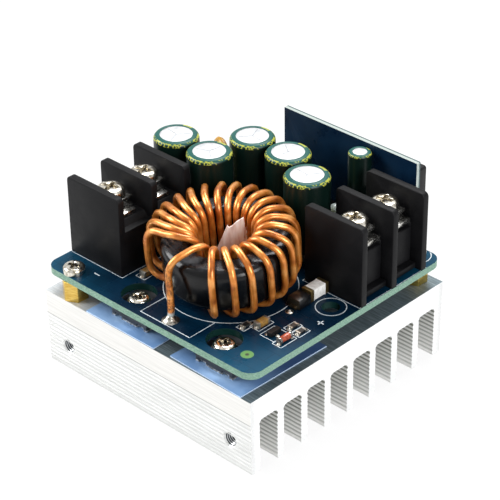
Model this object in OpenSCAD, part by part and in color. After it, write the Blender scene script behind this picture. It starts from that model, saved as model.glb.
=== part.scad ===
// Step-down power converter on a finned heatsink.
// Millimetres, +Z up. The origin is on the middle fin's foot, under the centre of the heatsink.
// X runs along the extrusion, Y across the fins. Everything above the heatsink is placed from its top face.

/* [Heatsink] */
// How far the heatsink stands out past each side of the main board
sink_overhang = 0.35; // [0:0.05:10]
// Overall height
sink_height = 17.8; // [12:0.1:40]
// Plate thickness above the channels
sink_base = 5.4; // [3:0.1:10]
// Number of fins between the side walls
fin_count = 7; // [5:1:9]
// Thickness of one fin
fin_thickness = 1.63; // [1:0.01:2.2]
// Thickness of a side wall
side_wall = 2.45; // [2:0.01:4]
// Spacing of the ribs on fins and walls
rib_pitch = 1.0; // [0.8:0.05:2]
// How far a rib stands out
rib_depth = 0.15; // [0.05:0.01:0.3]
// Fillet where a fin meets the plate
root_radius = 1.0; // [0.3:0.1:1.4]
// How far the smooth upper band of a side wall stands out
band_proud = 0.25; // [0.1:0.05:0.6]
// Distance between the tapped holes in a side wall
wall_hole_spacing = 48; // [30:0.5:52]
// Height of those holes above the feet
wall_hole_height = 5.75; // [4:0.05:9]
// Wall radius of every tapped hole
tapped_radius = 1.5; // [1.25:0.05:2]
// Countersink at a tapped hole's mouth
tapped_chamfer = 0.25; // [0.1:0.05:0.5]

/* [Main board] */
// Free space between the input terminal and the capacitors, along X
row_gap = 1.9; // [0.5:0.1:30]
// Free depth behind the large capacitors, along Y
rear_gap = 8.45; // [8:0.05:30]
// Board thickness
board_thickness = 1.6; // [0.8:0.1:3]
// Corner radius
board_corner = 3; // [1:0.1:4]
// Diameter of the holes over the package screws
access_hole = 7.6; // [6:0.1:9]
// Diameter of the wire pad hole near the input terminal
wire_hole = 3.9; // [2:0.1:5]

/* [Standoffs and screws] */
// Height of a standoff between heatsink and board
standoff_height = 4.6; // [4.6:0.1:12]
// Width across a standoff's flats
standoff_flats = 5; // [4.5:0.1:5.5]
// Radius of an M3 screw shank
m3_radius = 1.45; // [1.2:0.05:1.45]
// Head diameter of a board screw
board_head = 4.8; // [4:0.1:6]
// Head height of a board screw
board_head_height = 1.6; // [1:0.1:2.5]
// Head diameter of a package screw
package_head = 4.7; // [4:0.1:6]
// Head height of a package screw
package_head_height = 1.7; // [1:0.1:2.5]
// Outer diameter of a lock washer
washer_diameter = 5.6; // [5:0.1:6]
// Thickness of a lock washer
washer_thickness = 0.8; // [0.4:0.1:1.2]

/* [Power packages] */
// Thickness of a thermal pad
pad_thickness = 0.25; // [0.15:0.05:0.5]
// Width of a thermal pad
pad_width = 20.2; // [12:0.1:22]
// Length of the left thermal pad
left_pad_length = 21.6; // [17:0.1:26]
// Length of the right thermal pad
right_pad_length = 24.5; // [17:0.1:26]
// Width of a package
package_width = 10.3; // [9:0.1:12]
// Length of a package
package_length = 15.9; // [14:0.1:18]
// Length of the thin end with the screw hole
package_tab_length = 6.8; // [6:0.1:8]
// Thickness of the thin end
package_tab = 2.8; // [1.5:0.1:3.2]
// Thickness of the body
package_body = 4.3; // [3.4:0.05:4.3]
// Distance from the free end to the screw hole
package_hole_inset = 3.2; // [3:0.1:3.6]
// Radius of the screw hole
package_hole_radius = 1.6; // [1.55:0.05:2]
// Spacing of the three leads
lead_pitch = 2.54; // [2:0.01:3]
// Width of a lead
lead_width = 0.8; // [0.5:0.05:1.2]
// Thickness of a lead
lead_thickness = 0.5; // [0.3:0.05:0.8]
// How far the leads run out before they bend up
lead_reach = 2.4; // [1.2:0.1:4]

/* [Terminal blocks] */
// Spacing of the poles
pole_pitch = 9.5; // [8.5:0.1:10]
// Depth of a block
block_depth = 15.6; // [15:0.1:20]
// Height of the dividers above the board
divider_height = 18.4; // [17.5:0.1:25]
// Thickness of a divider
divider_thickness = 1.6; // [1:0.1:2.2]
// Radius on a divider's upper corners
divider_corner = 1.1; // [0.5:0.1:2]
// Height of the seat under a contact plate
seat_height = 11.3; // [9:0.1:13]
// Thickness of a contact plate
contact_thickness = 0.9; // [0.6:0.1:1.2]
// Width of a contact plate under the screw
contact_width = 6.4; // [5.5:0.1:6.8]
// Length of a contact plate
contact_length = 9.8; // [9:0.1:11]
// Distance from the block's back to the plate
contact_inset = 3.0; // [2.5:0.1:4]
// Side of a square clamp washer
clamp_side = 6.2; // [5:0.1:6.4]
// Thickness of a clamp washer
clamp_thickness = 0.8; // [0.5:0.1:1.2]
// Gap between contact plate and clamp washer
clamp_gap = 1.1; // [0.6:0.1:2]
// Head diameter of a terminal screw
terminal_head = 6.2; // [5.5:0.1:6.6]
// Head height of a terminal screw
terminal_head_height = 2.3; // [1.5:0.1:3]
// Shank radius of a terminal screw
terminal_shank = 1.7; // [1.4:0.05:2]

/* [Inductor] */
// Outer radius of the core
core_outer = 13.45; // [12:0.05:14]
// Inner radius of the core
core_inner = 7.25; // [7.2:0.05:8.5]
// Height of the core
core_height = 10.2; // [8:0.1:11]
// Edge radius of the core
core_edge = 2.0; // [1.8:0.1:2.6]
// Height of the core's centre above the board
core_lift = 8.5; // [8.5:0.1:12]
// Tilt of the core
core_tilt = 8; // [0:0.5:9]
// Diameter of the winding wire
wire_diameter = 1.42; // [1:0.02:1.5]
// Number of full turns
turn_count = 21; // [15:1:21]
// How far the loosest turns stand off the rim
wind_loose = 2.25; // [0:0.05:2.6]
// How high the turns arch over the core
wind_crown = 2.0; // [0:0.1:2.4]

/* [Capacitors] */
// Diameter of a large capacitor over its sleeve
cap_diameter = 10; // [8:0.1:10.2]
// Height of a large capacitor
cap_height = 19.2; // [14:0.1:25]
// Wall thickness of the sleeves
sleeve_wall = 0.15; // [0.1:0.05:0.3]
// Radius of the bare top that a large sleeve leaves
cap_bare_radius = 3.6; // [2.5:0.1:4]
// Diameter of the small capacitor over its sleeve
small_cap_diameter = 5.05; // [4:0.05:5.1]
// Length of the small capacitor
small_cap_length = 12; // [8:0.1:14]
// Diameter of the disc capacitor
disc_cap_diameter = 6.6; // [4:0.1:8]
// Thickness of the disc capacitor
disc_cap_thickness = 2.1; // [1.4:0.1:3]
// Height of the disc capacitor's middle above the board
disc_cap_lift = 10.2; // [5:0.1:14]

/* [Daughter board] */
// Length along X
daughter_length = 37.4; // [34:0.1:44]
// Thickness
daughter_thickness = 1.2; // [0.8:0.1:1.6]
// Height above the main board
daughter_height = 20.5; // [18:0.1:30]
// Spacing of the header pins
header_pitch = 2.54; // [2:0.01:2.54]
// Number of header pins
header_pins = 10; // [6:1:10]
// Width and thickness of a header pin
pin_side = 0.64; // [0.5:0.01:0.8]
// Side of the header's plastic bar
header_bar = 2.5; // [2:0.1:2.6]
// Width of the trimmer
trimmer_width = 9.5; // [6:0.1:11]
// Height of the trimmer
trimmer_height = 9.8; // [6:0.1:11]
// Depth of the trimmer
trimmer_depth = 4.8; // [3:0.1:6]

/* [Small parts] */
// Length of the fuse
fuse_length = 5.3; // [4:0.1:6]
// Width and height of the fuse
fuse_side = 2.65; // [2:0.05:3]
// Length of the power diode over its end caps
diode_length = 4.1; // [3.5:0.1:4.6]
// Diameter of the indicator lamp
lamp_diameter = 3; // [2:0.1:3.4]
// Height of the lamp's flange above the board
lamp_lift = 3.6; // [1:0.1:6]

/* [Hidden] */
$fn = 48;
slack = 0.05;
lap = 0.2;

// levels, from the feet of the fins
sink_top = sink_height;
pad_top = sink_top + pad_thickness;
board_under = sink_top + standoff_height;
board_top = board_under + board_thickness;

// terminal blocks
bay_width = pole_pitch - divider_thickness;
block_width = 2 * pole_pitch + divider_thickness;
panel_width = bay_width - 2;
panel_depth = block_depth - 2.3;
shoulder_depth = block_depth - 3.3;
ledge_depth = block_depth - 1.3;
terminal_screw_x = contact_inset + contact_length * 0.55;
clamp_under = seat_height + contact_thickness + clamp_gap;
clamp_top = clamp_under + clamp_thickness;

// winding: how far its wire runs from the core's axis in one direction, and how far the tightest turns reach
wire_radius = wire_diameter / 2;
wind_gap = 0.1;
tight_side = 0;
function wind_outer(angle) =
    core_outer + wire_radius + wind_gap + wind_loose * (1 - cos(angle - tight_side)) / 2;
coil_reach = core_outer + wire_diameter + wind_gap;

// The row of capacitors and the input terminal set the board's length.
cap_step = [cap_diameter + 0.45, 2.15, cap_diameter + 0.4];
last_cap_step = cap_diameter * [0.95, -0.449];
cap_row = cap_diameter + cap_step[0] + cap_step[1] + cap_step[2] + last_cap_step[0];
board_length = block_depth + row_gap + cap_row;
left_edge = -board_length / 2;
right_edge = board_length / 2;
block_back = right_edge - block_depth;
coil_x = -block_back + 1.68 + coil_reach + wind_loose;

// Three columns of parts run from the front edge to the rear edge, and the longest sets the board's width.
standoff_inset = 2.35;
rear_standoff_inset = 3.15;
output_gap = standoff_inset + board_head / 2 + 2.8;
left_column = output_gap + block_width + 1.6 + cap_diameter - 0.5 + cap_diameter + 1.0 + rear_gap;
last_cap_x = left_edge + cap_row - cap_diameter / 2;
coil_front = 4.78 + coil_reach;
middle_column = coil_front + sqrt(pow(wind_outer(82) + wire_radius + cap_diameter / 2 + 0.25, 2)
    - pow(last_cap_x - coil_x, 2)) - last_cap_step[1] + cap_diameter / 2 + rear_gap;
input_gap = rear_standoff_inset + board_head / 2 + 0.1;
right_column = coil_front + sqrt(pow(wind_outer(52) + wire_radius + 0.7, 2) - pow(block_back - coil_x, 2))
    + block_width + input_gap;
board_width = max(left_column, middle_column, right_column);
front_edge = -board_width / 2;
rear_edge = board_width / 2;
sink_length = board_length;
sink_width = board_width + 2 * sink_overhang;

output_y = front_edge + output_gap + block_width / 2;
input_y = rear_edge - input_gap - block_width / 2;
input_front = input_y - block_width / 2;

// places on the heatsink and the board
package_x = [left_edge + 22.7, right_edge - 12.8];
package_front = front_edge + 2.55;
package_hole_y = package_front + package_hole_inset;
rear_standoff = [right_edge - 5, rear_edge - rear_standoff_inset];
standoff_x = left_edge + 6.6;
standoff_places = [[standoff_x, front_edge + standoff_inset], [standoff_x, rear_edge - standoff_inset],
    rear_standoff];
wire_hole_place = [right_edge - 4.9, input_front - 3.8];
stud_length = 4;
tapped_depth = 4.2;

// fins
channel_width = (sink_width - 2 * side_wall - fin_count * fin_thickness) / (fin_count + 1);
fin_pitch = channel_width + fin_thickness;
channel_height = sink_height - sink_base;
rib_count = floor((channel_height - root_radius - 0.3) / rib_pitch);

// inductor
coil_y = front_edge + coil_front;
coil_z = board_top + core_lift;
high_side = 110;
wind_inner = core_inner - wire_radius - wind_gap;
wind_half = core_height / 2 + wire_radius + 0.04;
wind_corner = core_edge + wire_radius;
crown_bend = 3.6;
hole_bend = 2.6;
wire_sides = 8;
lead_foot = [coil_x, front_edge + 3.25, board_top];

// large capacitors: centres on the board, counted from the left edge
rear_row = rear_edge - rear_gap - cap_diameter / 2;
front_row = rear_row - cap_diameter - 1.0;
cap_1 = [left_edge + cap_diameter / 2, front_row + 0.5];
cap_2 = [cap_1[0] + cap_step[0], front_row];
cap_3 = [cap_2[0] + cap_step[1], rear_row];
cap_4 = [cap_3[0] + cap_step[2], rear_row];
cap_5 = cap_4 + last_cap_step;

// daughter board
daughter_right = rear_standoff[0] - 2;
daughter_x = daughter_right - daughter_length / 2;
daughter_back = board_width / 2;
daughter_front = daughter_back - daughter_thickness;
daughter_top = board_top + daughter_height;
header_x = daughter_x - (header_pins - 1) * header_pitch / 2;
trimmer_x = daughter_right - 2.2 - trimmer_width / 2;
trimmer_foot = daughter_top - 3.8 - trimmer_height;

// small parts beside the coil, the fuse and the terminals
coil_right = coil_x + coil_reach;
fuse_y = input_front - 0.1 - fuse_length / 2;
diode_y = fuse_y - fuse_length / 2 - 0.15 - diode_length / 2;
lamp_place = [cap_5[0] + 1.1, cap_5[1] + cap_diameter / 2 + lamp_diameter / 2 + 1.3];

// ---------------------------------------------------------------- general shapes

function arc(centre, radius, from, to, steps) =
    [for (i = [0:steps]) let (a = from + (to - from) * i / steps)
        [centre[0] + radius * cos(a), centre[1] + radius * sin(a)]];

module disc(radius, height, lift = 0) {
    translate([0, 0, lift]) cylinder(r = radius, h = height);
}

module centred_box(size_x, size_y, height) {
    translate([-size_x / 2, -size_y / 2, 0]) cube([size_x, size_y, height]);
}

module rounded_plate(size_x, size_y, height, radius) {
    linear_extrude(height) polygon(concat(
        arc([size_x / 2 - radius, size_y / 2 - radius], radius, 0, 90, 8),
        arc([-size_x / 2 + radius, size_y / 2 - radius], radius, 90, 180, 8),
        arc([-size_x / 2 + radius, -size_y / 2 + radius], radius, 180, 270, 8),
        arc([size_x / 2 - radius, -size_y / 2 + radius], radius, 270, 360, 8)));
}

// A domed head with a cross recess, standing on z = 0.
module cross_head(diameter, height, slot) {
    crown = height * 0.45;
    difference() {
        rotate_extrude() polygon(concat([[0, 0], [diameter / 2, 0]],
            [for (i = [0:6]) let (a = 90 * i / 6)
                [diameter / 2 - crown * 1.3 * (1 - cos(a)), height - crown + crown * sin(a)]],
            [[0, height]]));
        for (turn = [0, 90]) rotate([0, 0, turn + 20])
            translate([0, 0, height * 0.4]) centred_box(diameter * 0.56, slot, height);
    }
}

module pan_screw(diameter, height, shank, length) {
    cross_head(diameter, height, diameter * 0.17);
    disc(shank, length + lap, -length);
}

// ---------------------------------------------------------------- heatsink

// One wall of ribs going down, from depth 0 to the foot; side is +1 or -1.
function ribs(y, side) = concat([[y, -root_radius]],
    [for (i = [0:rib_count - 1]) for (part = [0, 0.35, 0.75])
        [y + side * (part == 0 ? 0 : rib_depth), -root_radius - (i + part + 0.1) * rib_pitch]],
    [[y, -channel_height]]);

function flip(points) = [for (i = [len(points) - 1:-1:0]) points[i]];

// Outline of the channel whose centre lies at y, open at the feet.
function channel_outline(y) =
    let (half = channel_width / 2)
    concat(
        flip([for (p = ribs(y - half, 1)) [p[0], p[1] + channel_height]]),
        arc([y - half + root_radius, channel_height - root_radius], root_radius, 180, 90, 4),
        arc([y + half - root_radius, channel_height - root_radius], root_radius, 90, 0, 4),
        [for (p = ribs(y + half, -1)) [p[0], p[1] + channel_height]],
        [[y + half, -lap], [y - half, -lap]]);

// Fine grooves on the outside of a side wall, below the smooth band.
function wall_grooves(side) =
    let (top = channel_height - 0.2, count = floor((top - 0.6) / rib_pitch))
    concat([[side * (sink_width / 2 + lap), top], [side * (sink_width / 2 - band_proud), top - band_proud]],
        [for (i = [0:count - 1]) for (part = [0.3, 0.65])
            [side * (sink_width / 2 - band_proud + (part == 0.65 ? rib_depth : 0)),
             top - band_proud - (i + part) * rib_pitch]],
        [[side * (sink_width / 2 - band_proud), -lap], [side * (sink_width / 2 + lap), -lap]]);

module tapped_hole(depth) {
    disc(tapped_radius, depth + lap, -depth);
    translate([0, 0, -tapped_chamfer])
        cylinder(r1 = tapped_radius, r2 = tapped_radius + tapped_chamfer * 1.4, h = tapped_chamfer * 1.4);
}

module heatsink() {
    color([0.83, 0.84, 0.85]) difference() {
        translate([-sink_length / 2, 0, 0]) rotate([90, 0, 90]) linear_extrude(sink_length) difference() {
            translate([-sink_width / 2, 0]) square([sink_width, sink_height]);
            for (i = [0:fin_count])
                polygon(channel_outline((i - fin_count / 2) * fin_pitch));
            for (side = [-1, 1]) polygon(wall_grooves(side));
        }
        for (x = package_x) translate([x, package_hole_y, sink_top]) tapped_hole(sink_base + lap);
        for (place = standoff_places) translate([place[0], place[1], sink_top]) tapped_hole(tapped_depth);
        for (x = [-1, 1]) translate([x * wall_hole_spacing / 2, -sink_width / 2 + band_proud, wall_hole_height])
            rotate([90, 0, 0]) tapped_hole(side_wall + lap);
    }
}

// ---------------------------------------------------------------- packages, pads and their fasteners

module thermal_pad(x, length, setback, turn) {
    color([0.42, 0.6, 0.8]) difference() {
        translate([x, setback - sink_width / 2, sink_top]) rotate([0, 0, turn])
            translate([-pad_width / 2, 0, 0]) cube([pad_width, length, pad_thickness]);
        translate([x, package_hole_y, sink_top]) disc(package_hole_radius, pad_thickness + 2 * lap, -lap);
    }
}

module left_thermal_pad() { thermal_pad(package_x[0], left_pad_length, 0.1, 0); }

module right_thermal_pad() { thermal_pad(package_x[1], right_pad_length, 0.3, -1.6); }

module package(x) {
    body_from = package_tab_length;
    translate([x, package_front, pad_top]) {
        color([0.27, 0.28, 0.3]) difference() {
            union() {
                // thin end with cut corners, then the thick body with a sloped step
                rotate([90, 0, 90]) translate([0, 0, -package_width / 2]) linear_extrude(package_width)
                    polygon([[0, 0], [package_length, 0], [package_length, package_body - 0.3],
                        [package_length - 0.3, package_body], [body_from + 0.5, package_body],
                        [body_from, package_tab], [0, package_tab]]);
            }
            translate([0, package_hole_inset, 0]) disc(package_hole_radius, package_tab + 2 * lap, -lap);
            // mould pockets at the lower front corners and the notches in both sides
            for (side = [-1, 1]) {
                translate([side * (package_width / 2 - 1.9), 0, 0]) centred_box(2.0, 1.2, 0.9);
                translate([side * package_width / 2, body_from - 1.2, -lap]) centred_box(1.4, 1.8, package_tab + 2);
            }
        }
        color([0.75, 0.75, 0.76]) for (i = [-1:1]) translate([i * lead_pitch, package_length, 1.9]) {
            translate([-lead_width / 2, -lap, 0]) cube([lead_width, lead_reach + lap, lead_thickness]);
            translate([-lead_width / 2, lead_reach - lead_thickness, 0])
                cube([lead_width, lead_thickness, board_under - pad_top - 1.9]);
        }
    }
}

module left_package() { package(package_x[0]); }

module right_package() { package(package_x[1]); }

module package_screws() {
    color([0.72, 0.71, 0.68]) for (x = package_x)
        translate([x, package_hole_y, pad_top + package_tab + washer_thickness])
            pan_screw(package_head, package_head_height, m3_radius,
                washer_thickness + package_tab + pad_thickness + sink_base - 0.6);
}

module lock_washers() {
    color([0.62, 0.6, 0.55]) for (x = package_x) translate([x, package_hole_y, pad_top + package_tab])
        difference() {
            disc(washer_diameter / 2, washer_thickness);
            disc(tapped_radius, washer_thickness + 2 * lap, -lap);
            rotate([0, 0, 60]) translate([0, -0.25, -lap])
                cube([washer_diameter, 0.5, washer_thickness + 2 * lap]);
        }
}

module standoffs() {
    color([0.82, 0.66, 0.32]) for (place = standoff_places) translate([place[0], place[1], sink_top])
        difference() {
            union() {
                rotate([0, 0, 27]) linear_extrude(standoff_height)
                    circle(r = standoff_flats / 2 / cos(30), $fn = 6);
                disc(m3_radius, stud_length + lap, -stud_length);
            }
            disc(tapped_radius, standoff_height + lap, 0.8);
        }
}

module board_screws() {
    color([0.78, 0.77, 0.74]) for (place = standoff_places) translate([place[0], place[1], board_top])
        pan_screw(board_head, board_head_height, m3_radius, board_thickness + standoff_height - 1.2);
}

// ---------------------------------------------------------------- boards

module main_board() {
    color([0.0, 0.22, 0.36]) translate([0, 0, board_under]) difference() {
        rounded_plate(board_length, board_width, board_thickness, board_corner);
        for (x = package_x) translate([x, package_hole_y, 0])
            disc(access_hole / 2, board_thickness + 2 * lap, -lap);
        for (place = standoff_places) translate([place[0], place[1], 0])
            disc(m3_radius + 0.15, board_thickness + 2 * lap, -lap);
        translate([wire_hole_place[0], wire_hole_place[1], 0])
            disc(wire_hole / 2, board_thickness + 2 * lap, -lap);
    }
}

module daughter_board() {
    color([0.0, 0.22, 0.36]) difference() {
        translate([daughter_x - daughter_length / 2, daughter_front, board_top])
            cube([daughter_length, daughter_thickness, daughter_height]);
        header_pin_run();
    }
}

// The row of bent pins, shared by the header and by the holes that take it.
module header_pin_run() {
    for (i = [0:header_pins - 1])
        translate([header_x + i * header_pitch - pin_side / 2, daughter_front - header_bar / 2 - pin_side / 2,
            board_top]) {
            cube([pin_side, pin_side, header_bar / 2 + pin_side / 2]);
            translate([0, 0, header_bar / 2 - pin_side / 2])
                cube([pin_side, header_bar / 2 + pin_side / 2 + daughter_thickness + 0.9, pin_side]);
        }
}

module pin_header() {
    color([0.08, 0.08, 0.09]) union() {
        translate([header_x - header_pitch / 2, daughter_front - header_bar, board_top + 0.1])
            cube([header_pins * header_pitch, header_bar, header_bar]);
        header_pin_run();
    }
}

module trimmer() {
    color([0.08, 0.08, 0.1]) translate([trimmer_x, daughter_back, trimmer_foot]) {
        rotate([-90, 0, 0]) translate([0, -trimmer_height / 2, 0])
            rounded_plate(trimmer_width, trimmer_height, trimmer_depth, 0.6);
        translate([1.4 - trimmer_width / 2, trimmer_depth / 2, trimmer_height - lap]) disc(1.1, 0.8 + lap);
    }
}

// ---------------------------------------------------------------- terminal blocks
// A block is drawn with its back at x = 0, its wire side towards +X, its middle on y = 0 and its foot on z = 0.

module place_block(left) {
    translate([0, left ? output_y : input_y, board_top])
        rotate([0, 0, left ? 180 : 0]) translate([block_back, 0, 0]) children();
}

module divider() {
    rotate([90, 0, 0]) translate([0, 0, -divider_thickness / 2]) linear_extrude(divider_thickness)
        polygon(concat([[0, 0], [block_depth, 0]],
            arc([block_depth - divider_corner, divider_height - divider_corner], divider_corner, 0, 90, 6),
            arc([divider_corner, divider_height - divider_corner], divider_corner, 90, 180, 6)));
}

module contact_shape() {
    narrow = contact_width - 2.2;
    leg = 1.0;
    linear_extrude(contact_thickness) polygon([[0, -narrow / 2], [1.6, -narrow / 2], [2.2, -contact_width / 2],
        [contact_length, -contact_width / 2], [contact_length, contact_width / 2],
        [2.2, contact_width / 2], [1.6, narrow / 2], [0, narrow / 2]]);
    translate([0.6, -narrow / 4, -seat_height]) cube([leg, narrow / 2, seat_height + lap]);
}

module terminal_body() {
    color([0.07, 0.07, 0.075]) difference() {
        union() {
            for (i = [-1:1]) translate([0, i * pole_pitch, 0]) divider();
            for (side = [-0.5, 0.5]) translate([0, side * pole_pitch, 0]) {
                // core of the bay, with a sloped lip at the back
                rotate([90, 0, 0]) translate([0, 0, -bay_width / 2 - lap / 2]) linear_extrude(bay_width + lap)
                    polygon([[0, 0], [shoulder_depth, 0], [shoulder_depth, seat_height - 0.8],
                        [shoulder_depth - 0.8, seat_height], [contact_inset - 0.4, seat_height],
                        [contact_inset - 1.4, seat_height - 1.2], [0, seat_height - 1.2]]);
                // raised front panel and foot ledge
                translate([shoulder_depth - lap, -panel_width / 2, 2.5])
                    cube([panel_depth - shoulder_depth + lap, panel_width, seat_height - 3.3]);
                translate([shoulder_depth - lap, -bay_width / 2 + 0.3, 0.5])
                    cube([ledge_depth - shoulder_depth + lap, bay_width - 0.6, 1.3]);
            }
        }
        for (side = [-0.5, 0.5]) translate([contact_inset, side * pole_pitch, seat_height]) {
            contact_shape();
            translate([terminal_screw_x - contact_inset, 0, 0])
                disc(terminal_shank + 0.4, 7, -6.5);
        }
    }
}

module output_terminal() { place_block(true) terminal_body(); }

module input_terminal() { place_block(false) terminal_body(); }

module contact(left, side) {
    color([0.78, 0.77, 0.73]) place_block(left)
        translate([contact_inset, side * pole_pitch / 2, seat_height]) difference() {
            contact_shape();
            translate([terminal_screw_x - contact_inset, 0, 0])
                disc(terminal_shank + slack, contact_thickness + 2 * lap, -lap);
        }
}

module output_contact_front() { contact(true, 1); }

module output_contact_rear() { contact(true, -1); }

module input_contact_front() { contact(false, -1); }

module input_contact_rear() { contact(false, 1); }

module each_pole() {
    for (left = [false, true]) for (side = [-0.5, 0.5])
        place_block(left) translate([terminal_screw_x, side * pole_pitch, 0]) children();
}

module terminal_screws() {
    color([0.8, 0.78, 0.74]) each_pole() translate([0, 0, clamp_top])
        pan_screw(terminal_head, terminal_head_height, terminal_shank, clamp_top - seat_height + 4);
}

module clamp_washers() {
    color([0.75, 0.74, 0.7]) each_pole() translate([0, 0, clamp_under]) difference() {
        centred_box(clamp_side, clamp_side, clamp_thickness);
        disc(terminal_shank + slack, clamp_thickness + 2 * lap, -lap);
    }
}

// ---------------------------------------------------------------- inductor

// Unit axis that the coil is tipped about, and a point of the coil carried into place.
tip_axis = [sin(high_side), -cos(high_side), 0];
function tipped(p) = p * cos(core_tilt) + cross(tip_axis, p) * sin(core_tilt)
    + tip_axis * (tip_axis * p) * (1 - cos(core_tilt));
function in_place(p) = tipped(p) + [coil_x, coil_y, coil_z];

// Where turn k climbs the outside and where it drops through the hole. The turns open out towards the last.
function climb_angle(k) = -57 + 16.8 * k - 0.15 * k * k;
function drop_angle(k) = -63 + 16 * k;

// A turn's run over the top from rim to hole, and under the core from hole to rim, in (radius, height).
function crown_run(reach) = concat(
    arc([reach - crown_bend, wind_half + 0.6 * wind_crown - crown_bend], crown_bend, 0, 90, 4),
    [[(reach - crown_bend + wind_inner + hole_bend) / 2, wind_half + wind_crown]],
    arc([wind_inner + hole_bend, wind_half + 0.85 * wind_crown - hole_bend], hole_bend, 90, 180, 3));
function foot_run(reach) = concat(
    arc([wind_inner + wind_corner, wind_corner - wind_half], wind_corner, 180, 270, 3),
    [[(reach + wind_inner) / 2, -wind_half]],
    arc([reach - wind_corner, wind_corner - wind_half], wind_corner, 270, 360, 3));

// The run as stations (radius, angle, height), easing from the angle in the hole to the angle at the rim.
function share(radius, reach) = let (t = max(0, min(1, (radius - wind_inner) / (reach - wind_inner))))
    t * t * (3 - 2 * t);
function stations(run, reach, hole, rim) =
    [for (p = run) [p[0], hole + (rim - hole) * share(p[0], reach), p[1]]];
function over_top(hole, rim) = let (reach = wind_outer(rim)) stations(crown_run(reach), reach, hole, rim);
function under(hole, rim) = let (reach = wind_outer(rim)) stations(foot_run(reach), reach, hole, rim);

// From the lead at the front edge, over the core, round every turn and down through the hole.
first_climb = -94;
all_stations = concat(over_top(drop_angle(-1), first_climb), under(drop_angle(-1), climb_angle(0)),
    [for (k = [0:turn_count - 1]) each concat(over_top(drop_angle(k), climb_angle(k)),
        k < turn_count - 1 ? under(drop_angle(k), climb_angle(k + 1)) : [])]);

function from_station(s) = in_place([s[0] * cos(s[1]), s[0] * sin(s[1]), s[2]]);
function around(s) = tipped([-sin(s[1]), cos(s[1]), 0]);

last_station = all_stations[len(all_stations) - 1];
last_foot = from_station([last_station[0], last_station[1], -wind_half]);

wire_points = concat(
    [lead_foot, lead_foot + [0, 0.35, 2.2]],
    [for (s = all_stations) from_station(s)],
    [from_station([last_station[0], last_station[1], 1]), [last_foot[0], last_foot[1], board_top + 1.5],
        [last_foot[0], last_foot[1], board_top]]);
wire_sideways = concat([[1, 0, 0], [1, 0, 0]], [for (s = all_stations) around(s)],
    [for (i = [0:2]) around(last_station)]);

function unit(v) = v / norm(v);
function wire_ring(i) =
    let (last = len(wire_points) - 1,
        raw = unit(wire_points[min(i + 1, last)] - wire_points[max(i - 1, 0)]),
        along = i == 0 || i == last ? [0, 0, i == 0 ? 1 : -1] : raw,
        across = unit(wire_sideways[i] - along * (along * wire_sideways[i])),
        up = cross(along, across))
    [for (j = [0:wire_sides - 1]) let (a = 360 * (j + 0.5) / wire_sides)
        wire_points[i] + (across * cos(a) + up * sin(a)) * wire_radius];

module inductor_winding() {
    rings = len(wire_points);
    points = [for (i = [0:rings - 1]) each wire_ring(i)];
    sides = [for (i = [0:rings - 2]) for (j = [0:wire_sides - 1]) let (next = (j + 1) % wire_sides)
        [i * wire_sides + j, (i + 1) * wire_sides + j, (i + 1) * wire_sides + next, i * wire_sides + next]];
    color([0.78, 0.42, 0.14]) polyhedron(points, concat(sides,
        [[for (j = [0:wire_sides - 1]) j]],
        [[for (j = [wire_sides - 1:-1:0]) (rings - 1) * wire_sides + j]]));
}

module inductor_core() {
    color([0.05, 0.05, 0.055]) translate([coil_x, coil_y, coil_z]) rotate(a = core_tilt, v = tip_axis)
        rotate_extrude($fn = 96) polygon(concat(
            arc([core_outer - core_edge, core_height / 2 - core_edge], core_edge, 0, 90, 6),
            arc([core_inner + core_edge, core_height / 2 - core_edge], core_edge, 90, 180, 6),
            arc([core_inner + core_edge, core_edge - core_height / 2], core_edge, 180, 270, 6),
            arc([core_outer - core_edge, core_edge - core_height / 2], core_edge, 270, 360, 6)));
}

// Torn insulating paper that stands in the hole, split near its right side.
module insulation_strip() {
    color([0.86, 0.8, 0.78]) translate([coil_x - 2.1, coil_y + 2.2, board_top]) rotate([90, 0, 44])
        translate([0, 0, -0.2]) linear_extrude(0.4)
            polygon([[-2.3, 0], [3.4, 0], [3.6, 8.6], [4.05, 9.2], [4.2, 10.2], [3.9, 10.8], [4.15, 11.5],
                [3.9, 12.0], [4.0, 12.7], [3.82, 12.3], [3.75, 9.8], [3.58, 9.8], [3.68, 13.2], [3.48, 14.9],
                [2.07, 14.0], [1.2, 13.0], [0.43, 12.6], [0.12, 13.1], [-1.2, 9.8], [-2.15, 7.5]]);
}

// ---------------------------------------------------------------- capacitors

// Outline of a can: a beaded cylinder with a rolled upper edge, in (radius, height).
function can_outline(radius, height, roll) = concat(
    [[0, 0], [radius - 0.3, 0], [radius, 0.3], [radius, 1.7]],
    [for (i = [0:6]) let (t = i / 6) [radius - 0.45 * sin(180 * t), 1.7 + 1.3 * t]],
    arc([radius - roll, height - roll], roll, 0, 90, 5), [[0, height]]);

// The sleeve covers the can's side and folds over its edge as far as bare.
function sleeve_outline(radius, height, roll, bare) =
    let (inside = radius - sleeve_wall)
    concat([[radius, 0.35], [radius, 1.7]],
        [for (i = [0:6]) let (t = i / 6) [radius - 0.45 * sin(180 * t), 1.7 + 1.3 * t]],
        arc([radius - roll - sleeve_wall, height - roll - sleeve_wall], roll + sleeve_wall, 0, 90, 5),
        [[bare, height], [bare, height - sleeve_wall]],
        flip(arc([inside - roll, height - sleeve_wall - roll], roll, 0, 90, 5)),
        [for (i = [6:-1:0]) let (t = i / 6) [inside - 0.45 * sin(180 * t), 1.7 + 1.3 * t]],
        [[inside, 1.7], [inside, 0.35]]);

module capacitor_can(place) {
    color([0.88, 0.88, 0.87]) translate([place[0], place[1], board_top])
        rotate_extrude() polygon(can_outline(cap_diameter / 2 - sleeve_wall, cap_height - sleeve_wall, 0.9));
}

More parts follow.
